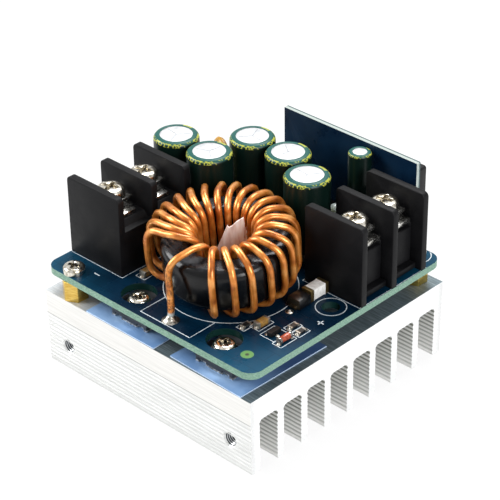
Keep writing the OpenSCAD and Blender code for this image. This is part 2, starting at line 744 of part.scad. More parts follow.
module capacitor_sleeve(place) {
    color([0.04, 0.17, 0.15]) translate([place[0], place[1], board_top])
        rotate_extrude() polygon(sleeve_outline(cap_diameter / 2, cap_height, 0.9, cap_bare_radius));
}

module capacitor_can_1() { capacitor_can(cap_1); }
module capacitor_can_2() { capacitor_can(cap_2); }
module capacitor_can_3() { capacitor_can(cap_3); }
module capacitor_can_4() { capacitor_can(cap_4); }
module capacitor_can_5() { capacitor_can(cap_5); }
module capacitor_sleeve_1() { capacitor_sleeve(cap_1); }
module capacitor_sleeve_2() { capacitor_sleeve(cap_2); }
module capacitor_sleeve_3() { capacitor_sleeve(cap_3); }
module capacitor_sleeve_4() { capacitor_sleeve(cap_4); }
module capacitor_sleeve_5() { capacitor_sleeve(cap_5); }

// The small capacitor leans on the daughter board's face and its leads bend into that board.
small_cap_x = daughter_right - 13.35;
small_cap_y = daughter_front - small_cap_diameter / 2 - slack;
small_cap_foot = daughter_top - 0.9 - small_cap_length;

module small_capacitor_can() {
    color([0.88, 0.88, 0.87]) translate([small_cap_x, small_cap_y, small_cap_foot]) {
        rotate_extrude()
            polygon(can_outline(small_cap_diameter / 2 - sleeve_wall, small_cap_length - sleeve_wall, 0.5));
        for (side = [-1, 1]) translate([side, 0, 0]) {
            disc(0.25, 1.4 + lap, -1.4);
            translate([0, 0, -1.4]) sphere(r = 0.25);
            translate([0, 0, -1.4]) rotate([-90, 0, 0]) disc(0.25, small_cap_diameter / 2 + slack);
        }
    }
}

module small_capacitor_sleeve() {
    color([0.04, 0.17, 0.15]) translate([small_cap_x, small_cap_y, small_cap_foot])
        rotate_extrude() polygon(sleeve_outline(small_cap_diameter / 2, small_cap_length, 0.5, 1.6));
}

module disc_capacitor() {
    radius = disc_cap_diameter / 2;
    half = disc_cap_thickness / 2;
    lead_shift = 0.06;
    color([0.78, 0.6, 0.25]) translate([left_edge + 6, rear_edge - 11.35, board_top]) rotate([0, 0, -20]) union() {
        translate([0, 0, disc_cap_lift]) rotate([90, 0, 0]) rotate_extrude($fn = 96)
            polygon([[0, -half], [radius - 1.4, -half], [radius - 0.4, -0.55 * half], [radius - 0.1, 0],
                [radius - 0.4, 0.55 * half], [radius - 1.4, half], [0, half]]);
        for (side = [-1, 1]) translate([side * (radius - 1.5), lead_shift, 0])
            disc(0.28, disc_cap_lift - radius + 0.9);
    }
}

// ---------------------------------------------------------------- small parts

// A ceramic chip with a metal cap on each end, long side along Y.
module chip(length, width, height, cap) {
    centred_box(width - 0.08, length - 2 * cap + 0.02, height - 0.06);
    for (side = [-1, 1]) translate([0, side * (length - cap) / 2, 0]) centred_box(width, cap, height);
}

module on_board(x, y, turn = 0) {
    translate([x, y, board_top]) rotate([0, 0, turn]) children();
}

module chip_capacitor(x, y) { color([0.62, 0.5, 0.36]) on_board(x, y) chip(3.2, 1.6, 1.2, 0.5); }

module chip_resistor(x, y) { color([0.1, 0.1, 0.1]) on_board(x, y) chip(2.0, 1.25, 0.55, 0.35); }

module left_chip_capacitor() { chip_capacitor(2.95 - block_back, front_edge + 12.15); }

module right_chip_capacitor() { chip_capacitor(coil_right - 0.37, front_edge + 14.55); }

module chip_resistor_1() { chip_resistor(coil_right - 2.37, front_edge + 11.95); }

module chip_resistor_2() { chip_resistor(right_edge - 5.7, front_edge + 18.15); }

module chip_resistor_3() { chip_resistor(right_edge - 3.3, front_edge + 17.85); }

module sot_transistor() {
    color([0.1, 0.1, 0.1]) on_board(right_edge - 6.8, front_edge + 13.75) {
        translate([0, 0, 0.1]) centred_box(1.3, 2.9, 1.0);
        for (leg = [[-1, -0.95], [-1, 0.95], [1, 0]]) translate([leg[0] * 0.95, leg[1], 0]) {
            centred_box(0.5, 0.4, 0.15);
            translate([-leg[0] * 0.3, 0, 0]) centred_box(0.2, 0.4, 0.6);
        }
    }
}

module glass_diode() {
    color([0.75, 0.25, 0.1]) on_board(right_edge - 3.6, front_edge + 13.35)
        translate([0, 0, 0.75]) rotate([90, 0, 0]) {
            disc(0.68, 2.6, -1.3);
            for (side = [-1, 1]) disc(0.75, 0.5, side * 1.45 - 0.25);
        }
}

module power_diode() {
    body = diode_length - 0.7;
    color([0.08, 0.08, 0.09]) on_board(coil_right + 0.33, diode_y) {
        translate([0, 0, 0.2]) rotate([90, 0, 0]) translate([0, 0, -body / 2]) linear_extrude(body)
            polygon([[-1.75, 0], [1.75, 0], [1.85, 0.9], [1.6, 2.1], [-1.6, 2.1], [-1.85, 0.9]]);
        for (side = [-1, 1]) translate([0, side * (diode_length / 2 - 0.3), 0]) centred_box(2.0, 0.6, 0.9);
    }
}

module fuse() {
    cap = 1.1;
    body = fuse_side - 0.15;
    color([0.9, 0.89, 0.86]) on_board(coil_right + 0.33, fuse_y) {
        translate([0, 0, 0.08]) centred_box(body, fuse_length - cap, body);
        for (side = [-1, 1]) translate([0, side * (fuse_length - cap) / 2, 0]) centred_box(fuse_side, cap, fuse_side);
    }
}

module indicator_led() {
    radius = lamp_diameter / 2;
    color([0.85, 0.88, 0.88]) on_board(lamp_place[0], lamp_place[1]) {
        translate([0, 0, lamp_lift]) {
            disc(radius + 0.4, 1.0);
            disc(radius, 3.9);
            translate([0, 0, 3.9]) sphere(r = radius);
        }
        for (side = [-1, 1]) translate([side * 1.27, 0, 0]) centred_box(0.5, 0.5, lamp_lift + lap);
    }
}

// ---------------------------------------------------------------- nodes

heatsink();
left_thermal_pad();
right_thermal_pad();
left_package();
right_package();
package_screws();
lock_washers();
standoffs();
board_screws();
main_board();
output_terminal();
input_terminal();
output_contact_front();
output_contact_rear();
input_contact_front();
input_contact_rear();
terminal_screws();
clamp_washers();
inductor_core();
inductor_winding();
insulation_strip();
capacitor_can_1();
capacitor_can_2();
capacitor_can_3();
capacitor_can_4();
capacitor_can_5();
capacitor_sleeve_1();
capacitor_sleeve_2();
capacitor_sleeve_3();
capacitor_sleeve_4();
capacitor_sleeve_5();
small_capacitor_can();
small_capacitor_sleeve();
disc_capacitor();
daughter_board();
pin_header();
trimmer();
left_chip_capacitor();
right_chip_capacitor();
chip_resistor_1();
chip_resistor_2();
chip_resistor_3();
sot_transistor();
glass_diode();
power_diode();
fuse();
indicator_led();
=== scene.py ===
import bpy, bmesh, math
from functools import partial
from mathutils import Matrix, Vector


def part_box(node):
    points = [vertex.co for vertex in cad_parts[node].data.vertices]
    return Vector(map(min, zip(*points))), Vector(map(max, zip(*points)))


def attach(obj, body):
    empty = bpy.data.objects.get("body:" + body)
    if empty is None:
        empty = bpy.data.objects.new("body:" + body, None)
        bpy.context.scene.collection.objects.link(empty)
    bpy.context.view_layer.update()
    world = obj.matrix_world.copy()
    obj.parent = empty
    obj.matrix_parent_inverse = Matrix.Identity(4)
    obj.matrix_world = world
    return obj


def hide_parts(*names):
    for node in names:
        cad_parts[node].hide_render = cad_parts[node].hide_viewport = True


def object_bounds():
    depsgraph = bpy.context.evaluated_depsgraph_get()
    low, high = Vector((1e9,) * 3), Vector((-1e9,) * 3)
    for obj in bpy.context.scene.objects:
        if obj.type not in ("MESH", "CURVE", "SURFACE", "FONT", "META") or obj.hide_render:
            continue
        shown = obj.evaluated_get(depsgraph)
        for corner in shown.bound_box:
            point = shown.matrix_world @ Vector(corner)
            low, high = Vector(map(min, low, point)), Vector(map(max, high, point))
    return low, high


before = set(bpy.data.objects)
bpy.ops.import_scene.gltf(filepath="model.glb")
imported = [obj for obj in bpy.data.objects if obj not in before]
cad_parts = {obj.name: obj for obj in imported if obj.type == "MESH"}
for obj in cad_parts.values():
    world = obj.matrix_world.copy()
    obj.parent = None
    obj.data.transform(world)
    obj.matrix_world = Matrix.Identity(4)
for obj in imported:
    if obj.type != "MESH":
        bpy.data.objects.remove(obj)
cadLow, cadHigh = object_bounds()
mm = 0.001
sinkLow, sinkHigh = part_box("heatsink")
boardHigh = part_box("main_board")[1]
boardTop = boardHigh.z / mm
print("frame loaded:", len(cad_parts), "nodes")

# welding distances in metres, angles in degrees
surface = {"weld": 1e-7, "cadWeld": 1e-6, "flatWithin": 0.8, "sharpFrom": 28, "smoothUnder": 35}

# small helpers

def srgb(code):
    # one place that turns a written sRGB colour into the linear one that shaders expect
    values = [int(code[i:i + 2], 16) / 255 for i in (1, 3, 5)]
    return tuple(v / 12.92 if v <= 0.04045 else ((v + 0.055) / 1.055) ** 2.4 for v in values) + (1.0,)

def fill(material, node, inputs):
    # sets each named input: a node or a socket is linked, a "#rrggbb" is a colour, and "From" and "To" take both
    # ends of a range; an input that is hidden in this kind of node is passed over
    for key, value in inputs.items():
        if key in ("From", "To"):
            fill(material, node, {key + " Min": value[0], key + " Max": value[1]})
            continue
        socket = node.inputs[key] if isinstance(key, int) else next(
            s for s in node.inputs if s.enabled and s.name == key)
        if isinstance(value, bpy.types.Node):
            value = next(s for s in value.outputs if s.enabled)
        if isinstance(value, bpy.types.NodeSocket):
            material.node_tree.links.new(value, socket)
        else:
            socket.default_value = srgb(value) if isinstance(value, str) else value

def addNode(material, kind, inputs=None, stops=None, **settings):
    # kind is the type's name after ShaderNode; stops are a ramp's places and colours
    node = material.node_tree.nodes.new("ShaderNode" + kind)
    for key, value in settings.items():
        setattr(node, key, value)
    for i, (place, colour) in enumerate(stops or []):
        element = node.color_ramp.elements[i] if i < 2 else node.color_ramp.elements.new(place)
        element.position, element.color = place, srgb(colour)
    fill(material, node, inputs or {})
    return node

def newMaterial(name, **shader):
    # hands back the material, its shader, a way to add nodes, and object coordinates in millimetres
    material = bpy.data.materials.new(name)
    material.use_nodes = True
    body = material.node_tree.nodes["Principled BSDF"]
    fill(material, body, {key.replace("_", " "): value for key, value in shader.items()})
    add = partial(addNode, material)
    place = add("Mapping", {"Vector": add("TexCoord").outputs["Object"], "Scale": (1000, 1000, 1000)})
    return material, body, add, place

def makeObject(name, bm, material):
    mesh = bpy.data.meshes.new(name)
    bm.to_mesh(mesh)
    bm.free()
    mesh.materials.append(material)
    thing = bpy.data.objects.new(name, mesh)
    bpy.context.collection.objects.link(thing)
    return thing

def finishPiece(name, bm, material, smooth=surface["smoothUnder"]):
    # a finished piece sits at the origin with its place in its mesh
    bmesh.ops.remove_doubles(bm, verts=bm.verts, dist=surface["weld"])
    for face in bm.faces:
        face.smooth = True
    piece = makeObject(name, bm, material)
    piece.data.set_sharp_from_angle(angle=math.radians(smooth))
    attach(piece, "root")
    return piece

def standIn(node, bm, material, smooth=surface["smoothUnder"]):
    # a finished piece that takes the place of a CAD node
    piece = finishPiece(node + "_dressed", bm, material, smooth)
    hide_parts(node)

def refinedCopy(node, material, bevel=0.0, segments=2, sharpFrom=surface["sharpFrom"],
        smooth=surface["smoothUnder"]):
    # the CAD node's own surface, merged, with its sharp edges broken by a bevel in millimetres, as on the real part
    bm = bmesh.new()
    bm.from_mesh(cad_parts[node].data)
    bmesh.ops.remove_doubles(bm, verts=bm.verts, dist=surface["cadWeld"])
    bmesh.ops.dissolve_limit(bm, angle_limit=math.radians(surface["flatWithin"]), verts=bm.verts, edges=bm.edges)
    if bevel:
        sharp = [e for e in bm.edges if e.is_manifold and e.calc_face_angle(0) > math.radians(sharpFrom)]
        bmesh.ops.bevel(bm, geom=sharp, offset=bevel * mm, offset_type="OFFSET", affect="EDGES",
            segments=segments, profile=0.5, material=-1, clamp_overlap=True)
    standIn(node, bm, material, smooth)

def dress(node, material):
    # the CAD node itself is shown, in this material
    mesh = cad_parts[node].data
    mesh.materials.clear()
    mesh.materials.append(material)

def spin(bm, profile, centre, steps):
    # turns a (radius, height) profile in millimetres once round the upright axis at centre
    points = [bm.verts.new((centre[0] + r * mm, centre[1], centre[2] + h * mm)) for r, h in profile]
    edges = [bm.edges.new(pair) for pair in zip(points, points[1:])]
    bmesh.ops.spin(bm, geom=points + edges, cent=centre, axis=(0, 0, 1), angle=2 * math.pi, steps=steps,
        use_merge=True)
    bmesh.ops.remove_doubles(bm, verts=bm.verts, dist=surface["weld"])
    bmesh.ops.recalc_face_normals(bm, faces=bm.faces)

# camera and stage

# angles in degrees, near and far in metres, the rest in millimetres
cameraView = {"azimuth": 44.034, "elevation": 31.979, "roll": -0.786, "lens": 141.617, "sensor": 36,
    "distance": 416.927, "right": 1.275, "up": 5.677, "aim": 20.0, "near": 0.01, "far": 20}

def makeCamera(view):
    a, e, roll = (math.radians(view[k]) for k in ("azimuth", "elevation", "roll"))
    back = Vector((math.sin(a) * math.cos(e), -math.cos(a) * math.cos(e), math.sin(e)))
    right = Vector((math.cos(a), math.sin(a), 0))
    up = back.cross(right)
    target = right * view["right"] + up * view["up"] + Vector((0, 0, view["aim"]))
    camera = bpy.data.objects.new("camera", bpy.data.cameras.new("camera"))
    camera.data.lens, camera.data.sensor_width = view["lens"], view["sensor"]
    camera.data.clip_start, camera.data.clip_end = view["near"], view["far"]
    rolledRight = right * math.cos(roll) + up * math.sin(roll)
    rolledUp = up * math.cos(roll) - right * math.sin(roll)
    turn = Matrix((rolledRight, rolledUp, back)).transposed().to_4x4()
    camera.matrix_world = Matrix.Translation((target + back * view["distance"]) * mm) @ turn
    bpy.context.collection.objects.link(camera)
    bpy.context.scene.camera = camera

# how bright the room is to plain surfaces and to metal, then each lamp's place, size and watts, in metres
stage = {"room": 0.26, "mirrored": 0.6, "tableGlow": 0.9, "tableHalf": 3.0, "tableDrop": 0.00002,
    "lampsAimAt": (0, 0, 0.02), "lamps": {
        "softbox_left": ((-0.42, -0.30, 0.34), (0.36, 0.36), 4.4),
        "softbox_right": ((0.52, -0.12, 0.30), (0.30, 0.30), 2.9),
        "softbox_above": ((-0.10, 0.30, 0.62), (0.46, 0.36), 5.2)}}

def makeTable():
    # a plain white table, which the camera and mirrors see nearly as white as the room round it
    material, body, add = newMaterial("white table laminate", Base_Color="#f4f4f4", Roughness=0.9)[:3]
    rays = add("LightPath")
    seen = add("Math", {0: rays.outputs["Is Camera Ray"], 1: rays.outputs["Is Glossy Ray"]},
        operation="MAXIMUM")
    shine = add("Emission", {"Color": "#ffffff", "Strength": 1.0})
    share = add("Math", {0: seen, 1: stage["tableGlow"]}, operation="MULTIPLY")
    fill(material, material.node_tree.nodes["Material Output"],
        {"Surface": add("MixShader", {0: share, 1: body, 2: shine})})
    bm = bmesh.new()
    bmesh.ops.create_grid(bm, x_segments=1, y_segments=1, size=stage["tableHalf"],
        matrix=Matrix.Translation((0, 0, cadLow.z - stage["tableDrop"])))
    makeObject("table", bm, material)

def makeRoom():
    # the room is white to the camera and to glass, less so to polished metal, and a soft grey to everything else
    world = bpy.data.worlds.new("studio")
    bpy.context.scene.world = world
    world.use_nodes = True
    add = partial(addNode, world)
    rays = add("LightPath")
    clear = add("Math", {0: rays.outputs["Is Camera Ray"], 1: rays.outputs["Is Transmission Ray"]},
        operation="MAXIMUM")
    mirrored = add("Math", {0: rays.outputs["Is Glossy Ray"], 1: stage["mirrored"]}, operation="MULTIPLY")
    white = add("Math", {0: clear, 1: mirrored}, operation="MAXIMUM")
    backdrop = world.node_tree.nodes["Background"]
    fill(world, backdrop, {"Color": "#ffffff", "Strength": 1.0})
    soft = add("Background", {"Color": "#f2f5fa", "Strength": stage["room"]})
    fill(world, world.node_tree.nodes["World Output"],
        {"Surface": add("MixShader", {0: white, 1: soft, 2: backdrop})})

def makeLamps():
    for name, (place, size, power) in stage["lamps"].items():
        lamp = bpy.data.lights.new(name, "AREA")
        lamp.shape, lamp.size, lamp.size_y, lamp.energy = "RECTANGLE", size[0], size[1], power
        stand = bpy.data.objects.new(name, lamp)
        stand.location = place
        aim = Vector(stage["lampsAimAt"]) - Vector(place)
        stand.rotation_euler = aim.to_track_quat("-Z", "Y").to_euler()
        bpy.context.collection.objects.link(stand)

makeCamera(cameraView)
makeTable()
makeRoom()
makeLamps()
print("camera, table and lamps made")

# heatsink and fasteners

# ribs and bands by height, wallInset inwards from the side walls, painted light and shade on the top along X; fade
# softens a border
sink = {"ribPitch": 1.0, "ribTop": 11.3, "bandFoot": 12.2, "fade": 0.1, "lipHalf": 0.12, "lipFade": 0.08,
    "wallInset": 1.2, "channelTop": 11.0, "paintedLitUntil": -19.0, "paintedShadeFrom": -10.0, "dieLine": 0.25}

def makeBareAluminium():
    # extruded 6063 aluminium, mill finish: near-white satin walls, ribs that show dark from below between the fins,
    # sawn ends, and a brushed top, darker with painted shade; die lines are 0.05 mm apart and drawn at 0.25 mm to
    # show
    material, body, add, place = newMaterial("extruded mill finish aluminium")
    wallFace = sinkHigh.y / mm - sink["wallInset"]
    drawn = add("TexNoise", {"Vector": add("Mapping", {"Vector": place, "Scale": (0.02, 1, 1)}),
        "Scale": 1 / sink["dieLine"], "Detail": 4.0})
    brushed = add("TexNoise", {"Vector": add("Mapping", {"Vector": place,
        "Scale": (0.05, 1, 1)}), "Scale": 3.2, "Detail": 6.0, "Roughness": 0.7})
    # one wave of the rib pattern is one rib pitch
    ribs = add("TexWave", {"Vector": place, "Scale": math.pi / 10 / sink["ribPitch"],
        "Phase Offset": -2 * math.pi * sink["ribTop"] / sink["ribPitch"]}, bands_direction="Z")
    normal = add("SeparateXYZ", {"Vector": add("NewGeometry").outputs["Normal"]}).outputs
    spot = add("SeparateXYZ", {"Vector": place}).outputs
    isEnd = add("MapRange", {"Value": add("Math", {0: normal["X"]}, operation="ABSOLUTE"), "From": (0.6, 0.8)})
    isTop = add("MapRange", {"Value": normal["Z"], "From": (0.8, 0.95)})
    inside = add("MapRange", {"Value": add("Math", {0: spot["Y"]}, operation="ABSOLUTE"),
        "From": (wallFace, wallFace - sink["fade"])})
    # between the fins the ribs' grooves turn darker with height, where less light comes in
    deep = add("MapRange", {"Value": spot["Z"], "From Max": sink["channelTop"], "To Min": 0.2})
    groove = add("ValToRGB", {"Fac": ribs}, [(0.3, "#8b8d85"), (0.6, "#f6f6f4")])
    channel = add("Mix", {"Factor": deep, "A": "#f2f2f0", "B": groove}, data_type="RGBA")
    # the outer walls have faint grooves up to a plain band, which casts a thin line of shade under its lip
    lipAt = sink["bandFoot"] - sink["fade"]
    below = add("MapRange", {"Value": spot["Z"], "From": (sink["bandFoot"], lipAt)})
    faint = add("ValToRGB", {"Fac": ribs}, [(0.25, "#e0e1df"), (0.6, "#ecedec")])
    outer = add("Mix", {"Factor": below, "A": "#f0efec", "B": faint}, data_type="RGBA")
    step = add("Math", {0: add("Math", {0: spot["Z"], 1: lipAt}, operation="SUBTRACT")}, operation="ABSOLUTE")
    lip = add("MapRange", {"Value": step, "From": (sink["lipHalf"] + sink["lipFade"], sink["lipHalf"])})
    outer = add("Mix", {"Factor": lip, "A": outer, "B": "#b9bab8"}, data_type="RGBA")
    wall = add("Mix", {"Factor": inside, "A": outer, "B": channel}, data_type="RGBA")
    wall = add("Mix", {"Factor": isEnd, "A": wall, "B": "#eff0f0"}, data_type="RGBA")
    streaks = add("ValToRGB", {"Fac": drawn}, [(0.3, "#f2f2f1"), (0.6, "#ffffff")])
    wall = add("Mix", {"Factor": 1.0, "A": wall, "B": streaks}, data_type="RGBA", blend_type="MULTIPLY")
    # the top carries painted light by the left side and painted shade towards the right, where the board shades it
    # and darkens its reflection
    shadedTop = add("ValToRGB", {"Fac": brushed}, [(0.3, "#48555a"), (0.5, "#66757b"), (0.75, "#93a0a4")])
    bright = add("ValToRGB", {"Fac": brushed}, [(0.3, "#a3a8ab"), (0.7, "#d6dadb")])
    reach = add("MapRange", {"Value": spot["X"], "From": (sink["paintedLitUntil"], sink["paintedShadeFrom"])})
    top = add("Mix", {"Factor": reach, "A": bright, "B": shadedTop}, data_type="RGBA")
    # the shaded places keep some plain diffuse light, as the etched skin there does
    shaded = add("Math", {0: isTop, 1: inside}, operation="MAXIMUM")
    fill(material, body, {
        "Base Color": add("Mix", {"Factor": isTop, "A": wall, "B": top}, data_type="RGBA"),
        "Metallic": add("Mix", {"Factor": shaded, "A": 0.85, "B": 0.4}),
        "Roughness": add("MapRange", {"Value": drawn, "From": (0.3, 0.7), "To": (0.38, 0.48)}),
        "Normal": add("Bump", {"Height": drawn, "Strength": 0.12, "Distance": 0.03 * mm})})
    return material

# bevels in millimetres, and how far the painted shade reaches out of a corner
plated = {"paintedShadeReach": 0.9, "screwBevel": 0.08, "stripBevel": 0.08, "washerBevel": 0.1, "standoffBevel": 0.12}

def makePlatedMetal(name, dark, light, rough, dented=0.3):
    # plating over drawn metal: a warm mirror with faint stains and handling dents about 1 mm across
    material, body, add, place = newMaterial(name, Metallic=1.0)
    stains = add("TexNoise", {"Vector": place, "Scale": 0.9, "Detail": 4.0})
    dents = add("TexNoise", {"Vector": place, "Scale": 1.1, "Detail": 3.0})
    # painted shade darkens the recesses, by ambient occlusion
    recess = add("AmbientOcclusion", {"Distance": plated["paintedShadeReach"] * mm}, samples=8)
    recessShade = add("ValToRGB", {"Fac": recess.outputs["AO"]}, [(0.3, "#2c2620"), (0.8, "#ffffff")])
    plate = add("ValToRGB", {"Fac": stains}, [(0.3, dark), (0.6, light)])
    fill(material, body, {
        "Base Color": add("Mix", {"Factor": 1.0, "A": plate, "B": recessShade}, data_type="RGBA",
            blend_type="MULTIPLY"),
        "Roughness": add("MapRange", {"Value": stains, "From": (0.3, 0.7), "To": (rough * 0.7, rough * 1.5)}),
        "Normal": add("Bump", {"Height": dents, "Strength": dented, "Distance": 0.2 * mm})})
    return material

def makeTurnedBrass():
    # free-cutting brass bar, turned and drawn: lines round the axis at the 0.15 mm feed, slightly tarnished
    material, body, add, place = newMaterial("turned brass", Metallic=1.0, Roughness=0.3)
    rings = add("TexNoise", {"Vector": add("Mapping", {"Vector": place,
        "Scale": (0.1, 0.1, 1)}), "Scale": 6.0, "Detail": 4.0})
    fill(material, body, {
        "Base Color": add("ValToRGB", {"Fac": rings}, [(0.3, "#c79a3c"), (0.7, "#f3d57a")]),
        "Normal": add("Bump", {"Height": rings, "Strength": 0.2, "Distance": 0.03 * mm})})
    return material

def makeSolder():
    # tin-lead solder: soft bright skin with a frosted grain, 0.1 mm in truth and drawn at 0.5 mm to show
    material, body, add, place = newMaterial("tin lead solder", Metallic=1.0, Roughness=0.3)
    frost = add("TexNoise", {"Vector": place, "Scale": 2.0, "Detail": 4.0})
    fill(material, body, {
        "Base Color": add("ValToRGB", {"Fac": frost}, [(0.3, "#5f5c55"), (0.65, "#c4c0b6")]),
        "Normal": add("Bump", {"Height": frost, "Strength": 0.6, "Distance": 0.15 * mm})})
    return material

bareAluminium = makeBareAluminium()
nickelPlate = makePlatedMetal("nickel plated steel", "#a2977f", "#f6f1e6", 0.16)
zincSpring = makePlatedMetal("zinc plated spring steel", "#6f6a60", "#bdb8ae", 0.3)
tinPlate = makePlatedMetal("tin plated brass strip", "#a9a69e", "#ecebe6", 0.2, 0.04)
dress("heatsink", bareAluminium)
for node in ("package_screws", "terminal_screws"):
    refinedCopy(node, nickelPlate, plated["screwBevel"], sharpFrom=40)
refinedCopy("board_screws", nickelPlate)
dress("lock_washers", zincSpring)
for node in ("output_contact_front", "output_contact_rear", "input_contact_front", "input_contact_rear"):
    refinedCopy(node, tinPlate, plated["stripBevel"])
refinedCopy("clamp_washers", tinPlate, plated["washerBevel"])
refinedCopy("standoffs", makeTurnedBrass(), plated["standoffBevel"])

# the two tapped holes in the front wall; inset and start keep the ridges inside the bore, clearance off its wall
wallHole = {"spacing": 48.0, "height": 5.75, "radius": 1.5, "depth": 2.3, "pitch": 0.5, "ridge": 0.28,
    "clearance": 0.02, "inset": 0.25, "start": 0.35, "steps": 40}

def makeCutThread():
    # freshly tapped aluminium in the hole's painted shade: bright crests on dark grooves, one turn every half
    # millimetre
    material, body, add, place = newMaterial("tapped aluminium thread", Metallic=1.0, Roughness=0.3)
    turns = add("TexWave", {"Vector": place, "Scale": math.pi / 10 / wallHole["pitch"],
        "Phase Offset": 1.0}, bands_direction="Y")
    fill(material, body, {"Base Color": add("ValToRGB", {"Fac": turns},
        [(0.35, "#35383b"), (0.6, "#c9ccce")])})
    return material

def makeWallThreads(hole):
    # the threads that show in the two tapped holes, as ridges inside the plain CAD bore
    bm = bmesh.new()
    face = sinkLow.y / mm + hole["inset"]
    count = int(hole["depth"] / hole["pitch"])
    profile = [(hole["radius"] - (hole["ridge"] if i % 2 else hole["clearance"]),
        hole["start"] + i * hole["pitch"] / 2) for i in range(2 * count)]
    for side in (-1, 1):
        ridges = bmesh.new()
        spin(ridges, profile, (0, 0, 0), hole["steps"])
        bmesh.ops.reverse_faces(ridges, faces=ridges.faces)
        middle = Vector((side * hole["spacing"] / 2, face, hole["height"])) * mm
        bmesh.ops.transform(ridges, verts=ridges.verts,
            matrix=Matrix.Translation(middle) @ Matrix.Rotation(-math.pi / 2, 4, "X"))
        mesh = bpy.data.meshes.new("ridges")
        ridges.to_mesh(mesh)
        ridges.free()
        bm.from_mesh(mesh)
        bpy.data.meshes.remove(mesh)
    finishPiece("wall_threads", bm, makeCutThread(), 20)

makeWallThreads(wallHole)
print("metals done")

# circuit boards

# pours are the copper areas under the mask; the painted teal sheen grows with |x| + |y|; rim is a share of the way
# to the board's edge; rearSkin is how far the daughter board's rear skin reaches in from its back
boards = {"pourWide": 7.0, "pourHigh": 3.4, "pourGap": 0.12, "sheenFrom": 38.0, "sheenFull": 56.0, "rimFrom": 0.93,
    "rimFull": 0.95, "rearSkin": 0.4, "bevel": 0.06, "daughterBevel": 0.03}

def makeSolderMask():
    # blue epoxy solder mask over copper and glass cloth: glossy, with copper pours just showing through, and a
    # sawn pale green edge with the 0.45 mm pitch of the cloth
    material, body, add, place = newMaterial("blue solder mask on glass epoxy", Specular_IOR_Level=0.12)
    routes = add("TexBrick", {"Vector": place, "Scale": 1.0, "Mortar Size": boards["pourGap"],
        "Brick Width": boards["pourWide"], "Row Height": boards["pourHigh"], "Color1": "#ffffff",
        "Color2": "#e4e4e4", "Mortar": "#a0a0a0"})
    cloud = add("TexNoise", {"Vector": place, "Scale": 0.11, "Detail": 4.0})
    mask = add("ValToRGB", {"Fac": cloud}, [(0.35, "#02182a"), (0.65, "#042338")])
    spot = add("SeparateXYZ", {"Vector": place}).outputs
    normal = add("SeparateXYZ", {"Vector": add("NewGeometry").outputs["Normal"]}).outputs
    # painted reflection: the mask turns teal towards the board's corners, as if mirroring the white room
    sideways, lengthways = (add("Math", {0: spot[axis]}, operation="ABSOLUTE") for axis in "XY")
    far = add("Math", {0: sideways, 1: lengthways}, operation="ADD")
    thin = add("MapRange", {"Value": far, "From": (boards["sheenFrom"], boards["sheenFull"]), "To Max": 0.8})
    mask = add("Mix", {"Factor": thin, "A": mask, "B": "#0b4660"}, data_type="RGBA")
    mask = add("Mix", {"Factor": 0.35, "A": mask, "B": routes}, data_type="RGBA", blend_type="MULTIPLY")
    upright = add("MapRange", {"Value": add("Math", {0: normal["Z"]}, operation="ABSOLUTE"),
        "From": (0.5, 0.3)})
    # upright faces near the board's rim are its sawn edge, and the others are the walls of its holes, whose dark
    # green is painted shade
    outer = add("Math", {
        0: add("Math", {0: sideways, 1: boardHigh.x / mm}, operation="DIVIDE"),
        1: add("Math", {0: lengthways, 1: boardHigh.y / mm}, operation="DIVIDE")}, operation="MAXIMUM")
    rim = add("MapRange", {"Value": outer, "From": (boards["rimFrom"], boards["rimFull"])})
    weave = add("TexNoise", {"Vector": add("Mapping", {"Vector": place, "Scale": (1, 1, 3)}),
        "Scale": 2.2, "Detail": 4.0})
    edge = add("ValToRGB", {"Fac": weave}, [(0.35, "#5a7a6c"), (0.5, "#6d8c7c"), (0.65, "#829d8c")])
    sawn = add("Mix", {"Factor": rim, "A": "#0f2b28", "B": edge}, data_type="RGBA")
    fill(material, body, {
        "Base Color": add("Mix", {"Factor": upright, "A": mask, "B": sawn}, data_type="RGBA"),
        "Roughness": add("MapRange", {"Value": cloud, "From": (0.3, 0.7), "To": (0.2, 0.36)}),
        "Normal": add("Bump", {"Height": routes, "Strength": 0.15, "Distance": 0.03 * mm})})
    return material

def makeDaughterMask():
    # the same mask on a thinner board that stands upright, so its sawn edges face up and sideways; its colour
    # clouds over some 6 mm
    material, body, add, place = newMaterial("blue solder mask on thin glass epoxy", Specular_IOR_Level=0.15)
    cloud = add("TexNoise", {"Vector": place, "Scale": 0.16, "Detail": 4.0})
    mask = add("ValToRGB", {"Fac": cloud}, [(0.35, "#061629"), (0.65, "#0a2238")])
    normal = add("SeparateXYZ", {"Vector": add("NewGeometry").outputs["Normal"]}).outputs
    face = add("MapRange", {"Value": add("Math", {0: normal["Y"]}, operation="ABSOLUTE"), "From": (0.5, 0.7)})
    # the edge is pale glass cloth between the two masked skins; the rear skin shows as a dark line
    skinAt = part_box("daughter_board")[1].y / mm - boards["rearSkin"]
    across = add("SeparateXYZ", {"Vector": place}).outputs["Y"]
    rear = add("MapRange", {"Value": across, "From": (skinAt - 0.02, skinAt + 0.02)})
    edge = add("Mix", {"Factor": rear, "A": "#a3aca7", "B": "#4a5b5c"}, data_type="RGBA")
    fill(material, body, {
        "Base Color": add("Mix", {"Factor": face, "A": edge, "B": mask}, data_type="RGBA"),
        "Roughness": add("MapRange", {"Value": cloud, "From": (0.3, 0.7), "To": (0.22, 0.38)}),
        "Normal": add("Bump", {"Height": cloud, "Strength": 0.06, "Distance": 0.03 * mm})})
    return material

def makeLegendInk():
    # white screen-printed ink, a little broken where the 0.3 mm screen mesh starved
    material, body, add, place = newMaterial("white legend ink", Roughness=0.6)
    starved = add("TexNoise", {"Vector": place, "Scale": 3.0, "Detail": 3.0})
    fill(material, body, {"Base Color": add("ValToRGB", {"Fac": starved},
        [(0.3, "#8fa3b0"), (0.55, "#dfe7ea")])})
    return material

refinedCopy("main_board", makeSolderMask(), boards["bevel"], 1)
refinedCopy("daughter_board", makeDaughterMask(), boards["daughterBevel"], 1)

